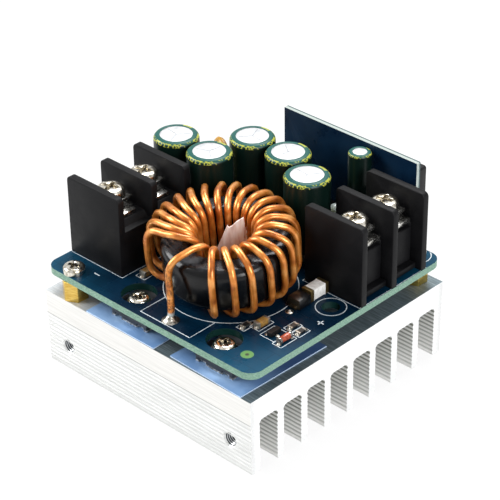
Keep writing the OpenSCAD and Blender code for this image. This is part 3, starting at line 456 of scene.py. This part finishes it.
# widths and places of the printed lines; circles are (middle, radius, from, to), boxes are corners, outlines are
# (middle x, middle y, half width, half height) and polarity marks are (x, y, upright stroke as well)
legend = {"line": 0.2, "thinLine": 0.14, "boldLine": 0.3, "lift": 0.012, "markHalf": 0.8,
    "circles": (((4.5, -8.6), 14.05, 0, 360), ((25.1, -0.7), 3.2, 0, 360), ((25.0, 26.2), 3.4, -75, 60)),
    "padBox": ((-2.3, -20.9), (-2.3, -28.0), (11.8, -28.0), (11.8, -20.9)),
    "terminalBoxes": ((-29.85, -22.0, -14.1, -1.0), (14.1, 2.8, 29.85, 23.9)),
    "outlines": ((19.1, -14.8, 1.3, 2.2), (-11.45, -17.2, 1.3, 2.2), (17.1, -17.4, 1.1, 1.6),
        (24.3, -11.2, 1.1, 1.6), (26.7, -11.5, 1.1, 1.6), (23.2, -15.6, 1.9, 2.1), (26.4, -16.0, 1.2, 2.3)),
    "polarity": ((-19.0, -24.6, False), (27.4, -6.4, True))}

def inkStroke(bm, points, width=legend["line"], closed=False):
    # a thin flat band of ink along points, laid on the board's top
    spots = [Vector((x, y, boardTop + legend["lift"])) for x, y in points]
    rails = []
    for i, spot in enumerate(spots):
        before = spots[i - 1] if i or closed else spot
        after = spots[(i + 1) % len(spots)] if closed or i < len(spots) - 1 else spot
        along = (after - before).normalized()
        across = Vector((-along.y, along.x, 0)) * width / 2
        rails.append([bm.verts.new((spot + across * side) * mm) for side in (-1, 1)])
    pairs = list(zip(rails, rails[1:])) + ([(rails[-1], rails[0])] if closed else [])
    for first, second in pairs:
        bm.faces.new((first[0], second[0], second[1], first[1]))

def inkCircle(bm, centre, radius, start, end):
    count = max(12, int(abs(end - start) / 5))
    whole = abs(end - start) >= 360
    angles = [math.radians(start + (end - start) * i / count) for i in range(count if whole else count + 1)]
    inkStroke(bm, [(centre[0] + radius * math.cos(a), centre[1] + radius * math.sin(a)) for a in angles],
        closed=whole)

def inkBox(bm, x0, y0, x1, y1):
    for line in (((x0, y0), (x1, y0)), ((x1, y0), (x1, y1)), ((x1, y1), (x0, y1)), ((x0, y1), (x0, y0))):
        inkStroke(bm, line, legend["thinLine"])

def makeLegend():
    bm = bmesh.new()
    for circle in legend["circles"]:
        inkCircle(bm, *circle)
    inkStroke(bm, legend["padBox"])
    for box in legend["terminalBoxes"]:
        inkBox(bm, *box)
    for x, y, halfX, halfY in legend["outlines"]:
        inkBox(bm, x - halfX, y - halfY, x + halfX, y + halfY)
    # plain polarity marks beside the terminals
    reach, bold = legend["markHalf"], legend["boldLine"]
    for x, y, plus in legend["polarity"]:
        inkStroke(bm, [(x - reach, y), (x + reach, y)], bold)
        if plus:
            inkStroke(bm, [(x, y - reach), (x, y + reach)], bold)
    finishPiece("legend_lines", bm, makeLegendInk())

testPad = {"at": (24.2, -24.4), "radius": 1.35, "lift": 0.015, "fadeOver": 1.4, "steps": 40}

def makeTestPad():
    # a bare copper test pad under clear mask: a pale green disc with a drilled middle, its darkness painted shade
    material, body, add, place = newMaterial("masked copper pad", Roughness=0.35)
    x, y = testPad["at"]
    away = add("VectorMath", {0: place, 1: (x, y, boardTop)}, operation="DISTANCE").outputs["Value"]
    share = add("Math", {0: away, 1: testPad["fadeOver"]}, operation="DIVIDE")
    fill(material, body, {"Base Color": add("ValToRGB", {"Fac": share},
        [(0.12, "#22281e"), (0.3, "#40583a"), (0.36, "#54803f"), (0.9, "#487843")])})
    bm = bmesh.new()
    middle = Vector((x, y, boardTop + testPad["lift"])) * mm
    bmesh.ops.create_circle(bm, cap_ends=True, segments=testPad["steps"], radius=testPad["radius"] * mm,
        matrix=Matrix.Translation(middle))
    finishPiece("test_pad", bm, material)

makeLegend()
makeTestPad()

# solder: mounds are (x, y, radius, height), ends are (x, y, half length) of parts soldered at both ends
joints = {"leadFoot": (4.5, -26.1, 1.9, 1.3), "viaMound": (20.0, -7.6, 0.9, 0.35),
    "endRadius": 0.62, "endHeight": 0.4, "ends": ((19.1, -14.8, 1.7), (-11.45, -17.2, 1.7), (17.1, -17.4, 1.15),
        (24.3, -11.2, 1.15), (26.7, -11.5, 1.15), (26.4, -16.0, 1.75)),
    "legRadius": 0.5, "legHeight": 0.2, "legs": ((22.25, -16.55), (22.25, -14.65), (24.15, -15.6)), "steps": 20}

def makeMound(bm, x, y, radius, height):
    # a solder fillet: concave skirt rising to a small crown
    profile = [(radius, 0), (radius * 0.82, height * 0.12), (radius * 0.6, height * 0.34),
        (radius * 0.46, height * 0.7), (radius * 0.3, height * 0.96), (0, height)]
    spin(bm, profile, (x * mm, y * mm, boardTop * mm), joints["steps"])

def makeSolderJoints():
    bm = bmesh.new()
    makeMound(bm, *joints["leadFoot"])
    makeMound(bm, *joints["viaMound"])
    for x, y, half in joints["ends"]:
        for side in (-1, 1):
            makeMound(bm, x, y + side * half, joints["endRadius"], joints["endHeight"])
    for x, y in joints["legs"]:
        makeMound(bm, x, y, joints["legRadius"], joints["legHeight"])
    finishPiece("solder_joints", bm, makeSolder(), 60)

makeSolderJoints()
print("boards done")

# inductor

# millimetres and degrees; edge rounds the core, wire is the wire's radius, loose is how far the turns stand off on
# the high side, crown is how high they arch, stride and relax are for smoothing the path
coil = {"centre": (4.5, -9.6, 8.5), "tilt": 8, "highSide": 110, "outer": 13.45, "inner": 7.25, "height": 10.2,
    "edge": 2.0, "coreSteps": 96, "wire": 0.75, "turns": 21, "sideGap": 0.1, "faceGap": 0.04, "loose": 2.25,
    "crown": 2.0, "crownBend": 3.6, "holeBend": 2.6, "rimRise": 0.6, "holeRise": 0.85, "archRise": 0.275,
    "steps": 7, "stride": 0.55, "relax": 7, "climbFrom": -57, "climbStep": 16.8, "climbTighter": 0.15,
    "uneven": 0.7, "dropFrom": -63, "dropStep": 16, "wireSegments": 2}
# the front lead: its foot on the board, its angle at the crown, then how far it is scorched and tinned
lead = {"foot": (4.5, -26.1), "angle": -94, "rise": ((0, 0.05, 0.9), (0, 0.35, 2.2)), "behind": -24.6,
    "scorchTop": 15.0, "scorchFull": 9.0, "tinTop": 2.1, "tinFull": 1.6}

def coilPlace(p):
    # tips a point of the coil, given in millimetres, and carries it to its place over the board
    high = math.radians(coil["highSide"])
    turn = Matrix.Rotation(math.radians(coil["tilt"]), 3, Vector((math.sin(high), -math.cos(high), 0)))
    cx, cy, lift = coil["centre"]
    return (turn @ Vector(p) + Vector((cx, cy, boardTop + lift))) * mm

def windingPath():
    # the turns hug the core on one side and stand off it on the other, and arch over its top
    inner = coil["inner"] - coil["wire"] - coil["sideGap"]
    half, corner = coil["height"] / 2 + coil["wire"] + coil["faceGap"], coil["edge"] + coil["wire"]
    crown, steps, rimBend, holeBend = coil["crown"], coil["steps"], coil["crownBend"], coil["holeBend"]

    def bend(radius, height, size, start, end):
        angles = [math.radians(start + (end - start) * i / steps) for i in range(steps + 1)]
        return [(radius + size * math.cos(a), height + size * math.sin(a)) for a in angles]

    def crownRun(reach):
        rim = bend(reach - rimBend, half + coil["rimRise"] * crown - rimBend, rimBend, 0, 90)
        hole = bend(inner + holeBend, half + coil["holeRise"] * crown - holeBend, holeBend, 90, 180)
        (r0, h0), (r1, h1) = rim[-1], hole[0]
        arch = [(r0 + (r1 - r0) * t, h0 + (h1 - h0) * t + coil["archRise"] * crown * math.sin(math.pi * t) ** 2)
            for t in (i / steps for i in range(1, steps))]
        return rim + arch + hole

    def footRun(reach):
        hole = bend(inner + corner, corner - half, corner, 180, 270)
        return hole + [((reach + inner) / 2, -half)] + bend(reach - corner, corner - half, corner, 270, 360)

    def laid(shape, dropAngle, climbAngle):
        slack = coil["loose"] * (1 - math.cos(math.radians(climbAngle))) / 2
        reach = coil["outer"] + coil["wire"] + coil["sideGap"] + slack
        points = []
        for radius, height in shape(reach):
            t = min(1, max(0, (radius - inner) / (reach - inner)))
            a = math.radians(dropAngle + (climbAngle - dropAngle) * t * t * (3 - 2 * t))
            points.append(coilPlace((radius * math.cos(a), radius * math.sin(a), height)))
        return points

    def climb(k):
        # the angle where turn k comes up outside: a little uneven, as wound by hand
        even = coil["climbFrom"] + coil["climbStep"] * k - coil["climbTighter"] * k * k
        return even + coil["uneven"] * math.sin(k * 2.3)

    def drop(k):
        # the angle where turn k goes down through the hole
        return coil["dropFrom"] + coil["dropStep"] * k

    foot = Vector((*lead["foot"], boardTop)) * mm
    path = [foot] + [foot + Vector(step) * mm for step in lead["rise"]]
    path += laid(crownRun, drop(-1), lead["angle"]) + laid(footRun, drop(-1), climb(0))
    for k in range(coil["turns"]):
        path += laid(crownRun, drop(k), climb(k))
        if k < coil["turns"] - 1:
            path += laid(footRun, drop(k), climb(k + 1))
    # the rear lead goes straight down to the board
    last = path[-1]
    return relaxed(path + [Vector((last.x, last.y, (boardTop + h) * mm)) for h in (2.0, 1.0, 0.0)])

def relaxed(path):
    # stiff wire has no kinks: the path is cut into even steps and each point drawn towards its neighbours
    even, done, stride = [path[0]], 0.0, coil["stride"] * mm
    for a, b in zip(path, path[1:]):
        length = (b - a).length
        while done + length >= stride * len(even):
            even.append(a.lerp(b, (stride * len(even) - done) / length))
        done += length
    even.append(path[-1])
    for _ in range(coil["relax"]):
        even = even[:3] + [even[i] * 0.5 + (even[i - 1] + even[i + 1]) * 0.25
            for i in range(3, len(even) - 3)] + even[-3:]
    return even

def makeEnamelledCopper():
    # copper magnet wire under clear polyester enamel: orange, glossy, browner in 0.5 mm scuffs, its tone drifting
    # over 3 mm, and scorched by the soldering iron along its lead
    material, body, add, place = newMaterial("enamelled copper magnet wire", Metallic=0.6, Roughness=0.3,
        Coat_Weight=0.4, Coat_Roughness=0.16)
    tone = add("TexNoise", {"Vector": place, "Scale": 0.35, "Detail": 4.0})
    scuffs = add("TexNoise", {"Vector": place, "Scale": 1.8, "Detail": 5.0, "Roughness": 0.7})
    copper = add("ValToRGB", {"Fac": tone}, [(0.3, "#9d5219"), (0.5, "#cf7e31"), (0.7, "#f1ae63")])
    worn = add("MapRange", {"Value": scuffs, "From": (0.62, 0.75), "To Max": 0.5})
    copper = add("Mix", {"Factor": worn, "A": copper, "B": "#7c3c12"}, data_type="RGBA")
    spot = add("SeparateXYZ", {"Vector": place}).outputs
    # only the lead stands this far to the front
    front = add("MapRange", {"Value": spot["Y"], "From": (lead["behind"], lead["behind"] - 0.4)})
    low = add("MapRange", {
        "Value": spot["Z"], "From": (boardTop + lead["scorchTop"], boardTop + lead["scorchFull"])})
    patch = add("MapRange", {"Value": scuffs, "From": (0.45, 0.6)})
    heated = add("Math", {0: front, 1: low}, operation="MULTIPLY")
    burnt = add("Math", {0: heated, 1: patch}, operation="MULTIPLY")
    copper = add("Mix", {"Factor": burnt, "A": copper, "B": "#5c3210"}, data_type="RGBA")
    wetted = add("MapRange", {
        "Value": spot["Z"], "From": (boardTop + lead["tinTop"], boardTop + lead["tinFull"])})
    tinned = add("Math", {0: front, 1: wetted}, operation="MULTIPLY")
    fill(material, body, {
        "Base Color": add("Mix", {"Factor": tinned, "A": copper, "B": "#b9c0bd"}, data_type="RGBA"),
        "Normal": add("Bump", {"Height": scuffs, "Strength": 0.06, "Distance": 0.03 * mm})})
    return material

def makeWinding(material):
    # the path is laid as a curve with the wire's thickness and made a mesh
    curve = bpy.data.curves.new("winding_path", "CURVE")
    curve.dimensions, curve.use_fill_caps = "3D", True
    curve.bevel_depth, curve.bevel_resolution = coil["wire"] * mm, coil["wireSegments"]
    path = windingPath()
    strand = curve.splines.new("POLY")
    strand.points.add(len(path) - 1)
    for point, spot in zip(strand.points, path):
        point.co = (*spot, 1)
    holder = bpy.data.objects.new("winding_path", curve)
    bpy.context.collection.objects.link(holder)
    bm = bmesh.new()
    bm.from_mesh(bpy.data.meshes.new_from_object(holder))
    bpy.data.objects.remove(holder)
    standIn("inductor_winding", bm, material, 60)

def makeCoreCoat():
    # black epoxy powder coat baked on an iron powder core: glossy, with 0.6 mm orange peel and a little dust on top
    material, body, add, place = newMaterial("black epoxy powder coat", Specular_IOR_Level=0.28)
    dust = add("TexNoise", {"Vector": place, "Scale": 0.5, "Detail": 5.0, "Roughness": 0.65})
    pebbles = add("TexNoise", {"Vector": place, "Scale": 1.6, "Detail": 4.0})
    normal = add("SeparateXYZ", {"Vector": add("NewGeometry").outputs["Normal"]}).outputs
    top = add("MapRange", {"Value": normal["Z"], "From": (0.7, 1.0), "To Max": 0.1})
    settled = add("MapRange", {"Value": dust, "From": (0.4, 0.6)})
    dusty = add("Math", {0: top, 1: settled}, operation="MULTIPLY")
    fill(material, body, {
        "Base Color": add("Mix", {"Factor": dusty, "A": "#060607", "B": "#8a8d96"}, data_type="RGBA"),
        "Roughness": add("MapRange", {"Value": dust, "From": (0.3, 0.7), "To": (0.14, 0.26)}),
        "Normal": add("Bump", {"Height": pebbles, "Strength": 0.05, "Distance": 0.08 * mm})})
    return material

def makeCore(material):
    # a toroid with rounded edges, spun round and then tipped as the winding is
    outer, inner, half, edge = coil["outer"], coil["inner"], coil["height"] / 2, coil["edge"]
    corners = ((outer - edge, half - edge, 0), (inner + edge, half - edge, 90),
        (inner + edge, edge - half, 180), (outer - edge, edge - half, 270))
    profile = [(r + edge * math.cos(a), h + edge * math.sin(a)) for r, h, start in corners
        for a in (math.radians(start + 15 * i) for i in range(7))]
    bm = bmesh.new()
    spin(bm, profile + profile[:1], (0, 0, 0), coil["coreSteps"])
    for vert in bm.verts:
        vert.co = coilPlace(vert.co / mm)
    bmesh.ops.recalc_face_normals(bm, faces=bm.faces)
    standIn("inductor_core", bm, material, 60)

def makePaper():
    # torn aramid insulation: pinkish white, its fibre bundles 0.6 mm across as they tear
    material, body, add, place = newMaterial("torn insulation paper", Roughness=0.85, Subsurface_Weight=0.1)
    fibres = add("TexNoise", {"Vector": add("Mapping", {"Vector": place,
        "Scale": (1, 1, 0.2)}), "Scale": 1.6, "Detail": 4.0})
    fill(material, body, {
        "Base Color": add("ValToRGB", {"Fac": fibres},
            [(0.3, "#d6bbb0"), (0.55, "#eedfd8"), (0.75, "#f8f2ef")]),
        "Normal": add("Bump", {"Height": fibres, "Strength": 0.3, "Distance": 0.1 * mm})})
    return material

makeWinding(makeEnamelledCopper())
makeCore(makeCoreCoat())
dress("insulation_strip", makePaper())
print("inductor done")

# capacitors

def makeCanMetal():
    # drawn aluminium can top, etched white, in blotches about 1 mm across
    material, body, add, place = newMaterial("etched aluminium can", Metallic=0.5, Roughness=0.4)
    etched = add("TexNoise", {"Vector": place, "Scale": 0.9, "Detail": 4.0})
    fill(material, body, {
        "Base Color": add("ValToRGB", {"Fac": etched}, [(0.3, "#babcbe"), (0.6, "#d2d3d4")]),
        "Normal": add("Bump", {"Height": etched, "Strength": 0.08, "Distance": 0.03 * mm})})
    return material

def makeVentMark():
    # the pressure vent pressed into a can top, drawn in a darker grey mottle than the can
    material, body, add, place = newMaterial("pressed vent groove", Metallic=0.4, Roughness=0.5)
    dust = add("TexNoise", {"Vector": place, "Scale": 1.2, "Detail": 3.0})
    fill(material, body, {"Base Color": add("ValToRGB", {"Fac": dust},
        [(0.35, "#7c8085"), (0.6, "#a4a7ab")])})
    return material

# round and tall are the large sleeve's girth and height in millimetres; stripeAt and stripeHalf are shares of a
# turn, stripeTop a share of the height, and shift turns the print a little from one sleeve to the next
filmPrint = {"round": 31.4, "tall": 19.2, "stripeAt": 0.285, "stripeHalf": 0.042, "stripeTop": 1.085,
    "shift": 0.013}

def makeSleeveFilm():
    # dark green heat-shrunk PVC film with a teal shine where it folds over the shoulder, a broken ring of printed
    # yellow-green marks there and a plain stripe down one side; u runs round the can and v up it and over its top
    material, body, add = newMaterial("green shrink film", Roughness=0.34, Specular_IOR_Level=0.25)[:3]
    wrap = add("SeparateXYZ", {"Vector": add("UVMap", uv_map="wrap")}).outputs
    shoulder = add("MapRange", {"Value": wrap["Y"], "From": (0.965, 1.0)})
    film = add("Mix", {"Factor": shoulder, "A": "#061713", "B": "#1a4f49"}, data_type="RGBA")
    unrolled = add("CombineXYZ", {
        "X": add("Math", {0: wrap["X"], 1: filmPrint["round"]}, operation="MULTIPLY"),
        "Y": add("Math", {0: wrap["Y"], 1: filmPrint["tall"]}, operation="MULTIPLY")})
    strokes = add("TexVoronoi", {"Vector": unrolled, "Scale": 1.1, "Randomness": 0.9},
        feature="DISTANCE_TO_EDGE")
    marks = add("MapRange", {"Value": strokes, "From": (0.13, 0.08)})
    lower = add("MapRange", {"Value": wrap["Y"], "From": (0.952, 0.958)})
    upper = add("MapRange", {"Value": wrap["Y"], "From": (1.03, 1.022)})
    clumps = add("TexNoise", {"Vector": unrolled, "Scale": 0.3, "Detail": 1.0})
    spaced = add("MapRange", {"Value": clumps, "From": (0.36, 0.42)})
    band = add("Math", {0: lower, 1: upper}, operation="MULTIPLY")
    broken = add("Math", {0: marks, 1: spaced}, operation="MULTIPLY")
    ring = add("Math", {0: band, 1: broken}, operation="MULTIPLY")
    film = add("Mix", {"Factor": ring, "A": film, "B": "#abad45"}, data_type="RGBA")
    beside = add("Math", {0: wrap["X"], 1: filmPrint["stripeAt"]}, operation="SUBTRACT")
    beside = add("Math", {0: beside}, operation="ABSOLUTE")
    half, top = filmPrint["stripeHalf"], filmPrint["stripeTop"]
    within = add("MapRange", {"Value": beside, "From": (half + 0.005, half)})
    beneath = add("MapRange", {"Value": wrap["Y"], "From": (top + 0.01, top)})
    stripe = add("Math", {0: within, 1: beneath}, operation="MULTIPLY")
    wrinkles = add("TexNoise", {"Vector": unrolled, "Scale": 0.8, "Detail": 3.0})
    fill(material, body, {
        "Base Color": add("Mix", {"Factor": stripe, "A": film, "B": "#a6a94b"}, data_type="RGBA"),
        "Normal": add("Bump", {"Height": wrinkles, "Strength": 0.15, "Distance": 0.05 * mm})})
    return material

# roll is the radius of the shoulder and bare that of the open top, for the large and the small sleeve; foot is how
# far the can reaches below its sleeve's hem
capacitor = {"beadAt": 1.7, "beadHeight": 1.3, "beadDepth": 0.45, "beadSteps": 8, "foot": 0.35, "hem": 0.12,
    "steps": 72, "large": {"roll": 1.05, "bare": 3.6}, "small": {"roll": 0.65, "bare": 1.6}, "largeFrom": 4}

def sleeveProfile(radius, height, roll, bare):
    # from the hem up over the bead and the shoulder to the bare top
    hem, steps = capacitor["hem"], capacitor["beadSteps"]
    profile = [(radius - hem, capacitor["foot"]), (radius, capacitor["foot"] + 0.01), (radius, capacitor["beadAt"])]
    profile += [(radius - capacitor["beadDepth"] * math.sin(math.pi * i / steps),
        capacitor["beadAt"] + capacitor["beadHeight"] * i / steps) for i in range(1, steps + 1)]
    profile += [(radius, height * 0.5)]
    profile += [(radius - roll + roll * math.cos(a), height - roll + roll * math.sin(a))
        for a in (math.radians(15 * i) for i in range(7))]
    return profile + [(bare + hem, height), (bare, height - 0.04), (bare - 0.02, height - hem)]

def makeSleeve(index, node, material):
    low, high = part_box(node)
    centreX, centreY = (low.x + high.x) / 2, (low.y + high.y) / 2
    radius, foot = (high.x - low.x) / 2 / mm, low.z / mm - capacitor["foot"]
    height = high.z / mm - foot
    shape = capacitor["large" if radius > capacitor["largeFrom"] else "small"]
    bm = bmesh.new()
    spin(bm, sleeveProfile(radius, height, **shape), (centreX, centreY, foot * mm), capacitor["steps"])
    layer = bm.loops.layers.uv.new("wrap")
    for face in bm.faces:
        # angles are taken near the face's own, so that no face spans the seam
        middle = face.calc_center_median()
        base = math.atan2(middle.y - centreY, middle.x - centreX)
        for loop in face.loops:
            dx, dy = loop.vert.co.x - centreX, loop.vert.co.y - centreY
            a = base + math.remainder(math.atan2(dy, dx) - base, 2 * math.pi)
            inward = max(0.0, radius - math.hypot(dx, dy) / mm)
            up = (loop.vert.co.z / mm - foot) / height
            over = 0.4 * inward / radius if up > 0.9 else 0
            loop[layer].uv = (a / (2 * math.pi) + index * filmPrint["shift"], up + over)
    standIn(node, bm, material, 50)

# length, width and height of a groove, the angles of the three, and how far each can is turned from the last
vents = {"size": (3.0, 0.16, 0.02), "lift": 0.01, "turns": (20, 140, 260), "twist": 31}

def makeVents(material):
    # three shallow grooves that meet in the middle of every large can's top
    bm = bmesh.new()
    for index in range(1, 6):
        low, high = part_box("capacitor_can_%d" % index)
        middle = (low + high) / 2
        centre = Vector((middle.x, middle.y, high.z + vents["lift"] * mm))
        for turn in vents["turns"]:
            bmesh.ops.create_cube(bm, size=1.0, matrix=Matrix.Translation(centre)
                @ Matrix.Rotation(math.radians(turn + index * vents["twist"]), 4, "Z")
                @ Matrix.Diagonal((*(Vector(vents["size"]) * mm), 1)) @ Matrix.Translation((0.5, 0, 0)))
    finishPiece("can_vents", bm, material)

canMetal, sleeveFilm = makeCanMetal(), makeSleeveFilm()
for index in range(1, 6):
    refinedCopy("capacitor_can_%d" % index, canMetal, smooth=50)
    makeSleeve(index, "capacitor_sleeve_%d" % index, sleeveFilm)
refinedCopy("small_capacitor_can", canMetal, smooth=50)
makeSleeve(6, "small_capacitor_sleeve", sleeveFilm)
makeVents(makeVentMark())
print("capacitors done")

# plastics and small parts

def makeMoulded(name, dark, light, rough, shine=0.5):
    # moulded or dipped plastic: faint flow marks every 4 mm and a spark-eroded grain, 0.05 mm in truth and drawn
    # at 0.3 mm to show
    material, body, add, place = newMaterial(name, Specular_IOR_Level=shine)
    flow = add("TexNoise", {"Vector": place, "Scale": 0.25, "Detail": 4.0})
    fine = add("TexNoise", {"Vector": place, "Scale": 3.0, "Detail": 2.0})
    fill(material, body, {
        "Base Color": add("ValToRGB", {"Fac": flow}, [(0.35, dark), (0.65, light)]),
        "Roughness": add("MapRange", {"Value": flow, "From": (0.3, 0.7), "To": (rough * 0.85, rough * 1.15)}),
        "Normal": add("Bump", {"Height": fine, "Strength": 0.25, "Distance": 0.05 * mm})})
    return material

package = {"metalHeight": 0.45, "bevel": 0.1}

def makePackage():
    # transfer-moulded grey epoxy on a tinned copper spreader, which shows as a bright line at its foot
    material, body, add, place = newMaterial("grey epoxy on tinned copper", Specular_IOR_Level=0.4)
    flow = add("TexNoise", {"Vector": place, "Scale": 0.25, "Detail": 4.0})
    tin = add("TexNoise", {"Vector": place, "Scale": 1.5, "Detail": 3.0})
    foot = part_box("left_package")[0].z / mm + package["metalHeight"]
    height = add("SeparateXYZ", {"Vector": place}).outputs["Z"]
    metal = add("MapRange", {"Value": height, "From": (foot + 0.02, foot - 0.02)})
    epoxy = add("ValToRGB", {"Fac": flow}, [(0.35, "#2c2e32"), (0.65, "#3d4045")])
    bright = add("ValToRGB", {"Fac": tin}, [(0.4, "#8e8b84"), (0.6, "#e8e6e0")])
    fill(material, body, {
        "Base Color": add("Mix", {"Factor": metal, "A": epoxy, "B": bright}, data_type="RGBA"),
        "Metallic": add("Math", {0: metal, 1: 0.5}, operation="MULTIPLY"),
        "Roughness": add("MapRange", {"Value": metal, "To": (0.45, 0.25)})})
    return material

def makeTipped(node, name, dark, light, rough, halfLength, cap):
    # a small fired or moulded part along Y with a tinned cap on each end, told apart by how far a point lies
    # from the middle, with a 0.7 mm mottle
    material, body, add, place = newMaterial(name, Roughness=rough)
    low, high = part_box(node)
    spot = add("SeparateXYZ", {"Vector": place}).outputs
    along = add("Math", {0: spot["Y"], 1: (low.y + high.y) / 2 / mm}, operation="SUBTRACT")
    tip = add("MapRange", {"Value": add("Math", {0: along}, operation="ABSOLUTE"),
        "From": (halfLength - 0.02, halfLength + 0.02)})
    speck = add("TexNoise", {"Vector": place, "Scale": 1.4, "Detail": 4.0})
    glaze = add("ValToRGB", {"Fac": speck}, [(0.35, dark), (0.65, light)])
    fill(material, body, {
        "Base Color": add("Mix", {"Factor": tip, "A": glaze, "B": cap}, data_type="RGBA"),
        "Metallic": add("Math", {0: tip, 1: 0.9}, operation="MULTIPLY"),
        "Normal": add("Bump", {"Height": speck, "Strength": 0.2, "Distance": 0.03 * mm})})
    return material

# the board shades the pads towards its middle and its right side
pads = {"shadeLeft": 14.0, "shadeRight": 24.0, "shadeFront": -28.0, "shadeBack": -17.0}

def makeThermalPad():
    # calendered silicone pad: soft satin blue, deeper where the board shades it, with a painted highlight on its
    # edges
    material, body, add, place = newMaterial("blue silicone thermal pad", Roughness=0.45, Specular_IOR_Level=0.4)
    cloud = add("TexNoise", {"Vector": place, "Scale": 0.15, "Detail": 3.0})
    grain = add("TexNoise", {"Vector": place, "Scale": 1.2, "Detail": 3.0})
    normal = add("SeparateXYZ", {"Vector": add("NewGeometry").outputs["Normal"]}).outputs
    spot = add("SeparateXYZ", {"Vector": place}).outputs
    blue = add("ValToRGB", {"Fac": cloud}, [(0.35, "#6e93c2"), (0.65, "#94b5dc")])
    right = add("MapRange", {"Value": spot["X"], "From": (pads["shadeLeft"], pads["shadeRight"])})
    back = add("MapRange", {"Value": spot["Y"], "From": (pads["shadeFront"], pads["shadeBack"]), "To Max": 0.85})
    shaded = add("Math", {0: right, 1: back}, operation="MULTIPLY")
    blue = add("Mix", {"Factor": shaded, "A": blue, "B": "#2a4674"}, data_type="RGBA")
    # upright faces are the pad's edges, drawn pale as a painted highlight
    litEdge = add("MapRange", {"Value": normal["Z"], "From": (0.6, 0.4)})
    fill(material, body, {
        "Base Color": add("Mix", {"Factor": litEdge, "A": blue, "B": "#bccfe8"}, data_type="RGBA"),
        "Normal": add("Bump", {"Height": grain, "Strength": 0.25, "Distance": 0.08 * mm})})
    return material

blackPbt = makeMoulded("black glass filled PBT", "#08080a", "#0d0d0f", 0.52, 0.15)
blackEpoxy = makeMoulded("black transfer moulded epoxy", "#0c0c0e", "#131315", 0.42, 0.2)
greyEpoxy, siliconePad = makePackage(), makeThermalPad()
for node in ("output_terminal", "input_terminal"):
    refinedCopy(node, blackPbt, 0.16)
for side in ("left", "right"):
    refinedCopy(side + "_package", greyEpoxy, package["bevel"])
    dress(side + "_thermal_pad", siliconePad)
for node, bevel, segments in (("trimmer", 0.15, 2), ("pin_header", 0.06, 1), ("sot_transistor", 0.06, 1)):
    refinedCopy(node, blackEpoxy, bevel, segments)

# finish, dark and light colour, roughness, half the length between the caps, cap colour, then bevel and its steps
ceramic = ("#8a6632", "#a8803f", 0.4, 1.1, "#a8a49b", 0.08, 2)
glaze = ("#151515", "#232323", 0.3, 0.65, "#a8a49b", 0.05, 1)
tipped = {
    "power_diode": ("black epoxy diode", "#070708", "#0e0e10", 0.3, 1.7, "#4a4232", 0.08, 2),
    "fuse": ("white alumina fuse", "#dcdbd6", "#f3f2ef", 0.45, 1.75, "#6b5c3a", 0.12, 2),
    "left_chip_capacitor": ("tan ceramic left_chip_capacitor", *ceramic),
    "right_chip_capacitor": ("tan ceramic right_chip_capacitor", *ceramic),
    "chip_resistor_1": ("black glaze chip_resistor_1", *glaze),
    "chip_resistor_2": ("black glaze chip_resistor_2", *glaze),
    "chip_resistor_3": ("black glaze chip_resistor_3", *glaze),
    "glass_diode": ("orange glass diode", "#7e2f1a", "#b5583a", 0.2, 1.2, "#8b8680", 0.08, 2)}
for node, (*finish, bevel, segments) in tipped.items():
    refinedCopy(node, makeTipped(node, *finish), bevel, segments)
refinedCopy("disc_capacitor", makeMoulded("golden dipped epoxy", "#87610f", "#b5841c", 0.3), smooth=60)
refinedCopy("indicator_led", makeMoulded("water clear LED resin", "#8b9595", "#b4bdbd", 0.12), smooth=60)
print("plastics and small parts done")

bpy.context.scene.view_settings.view_transform = "Standard"
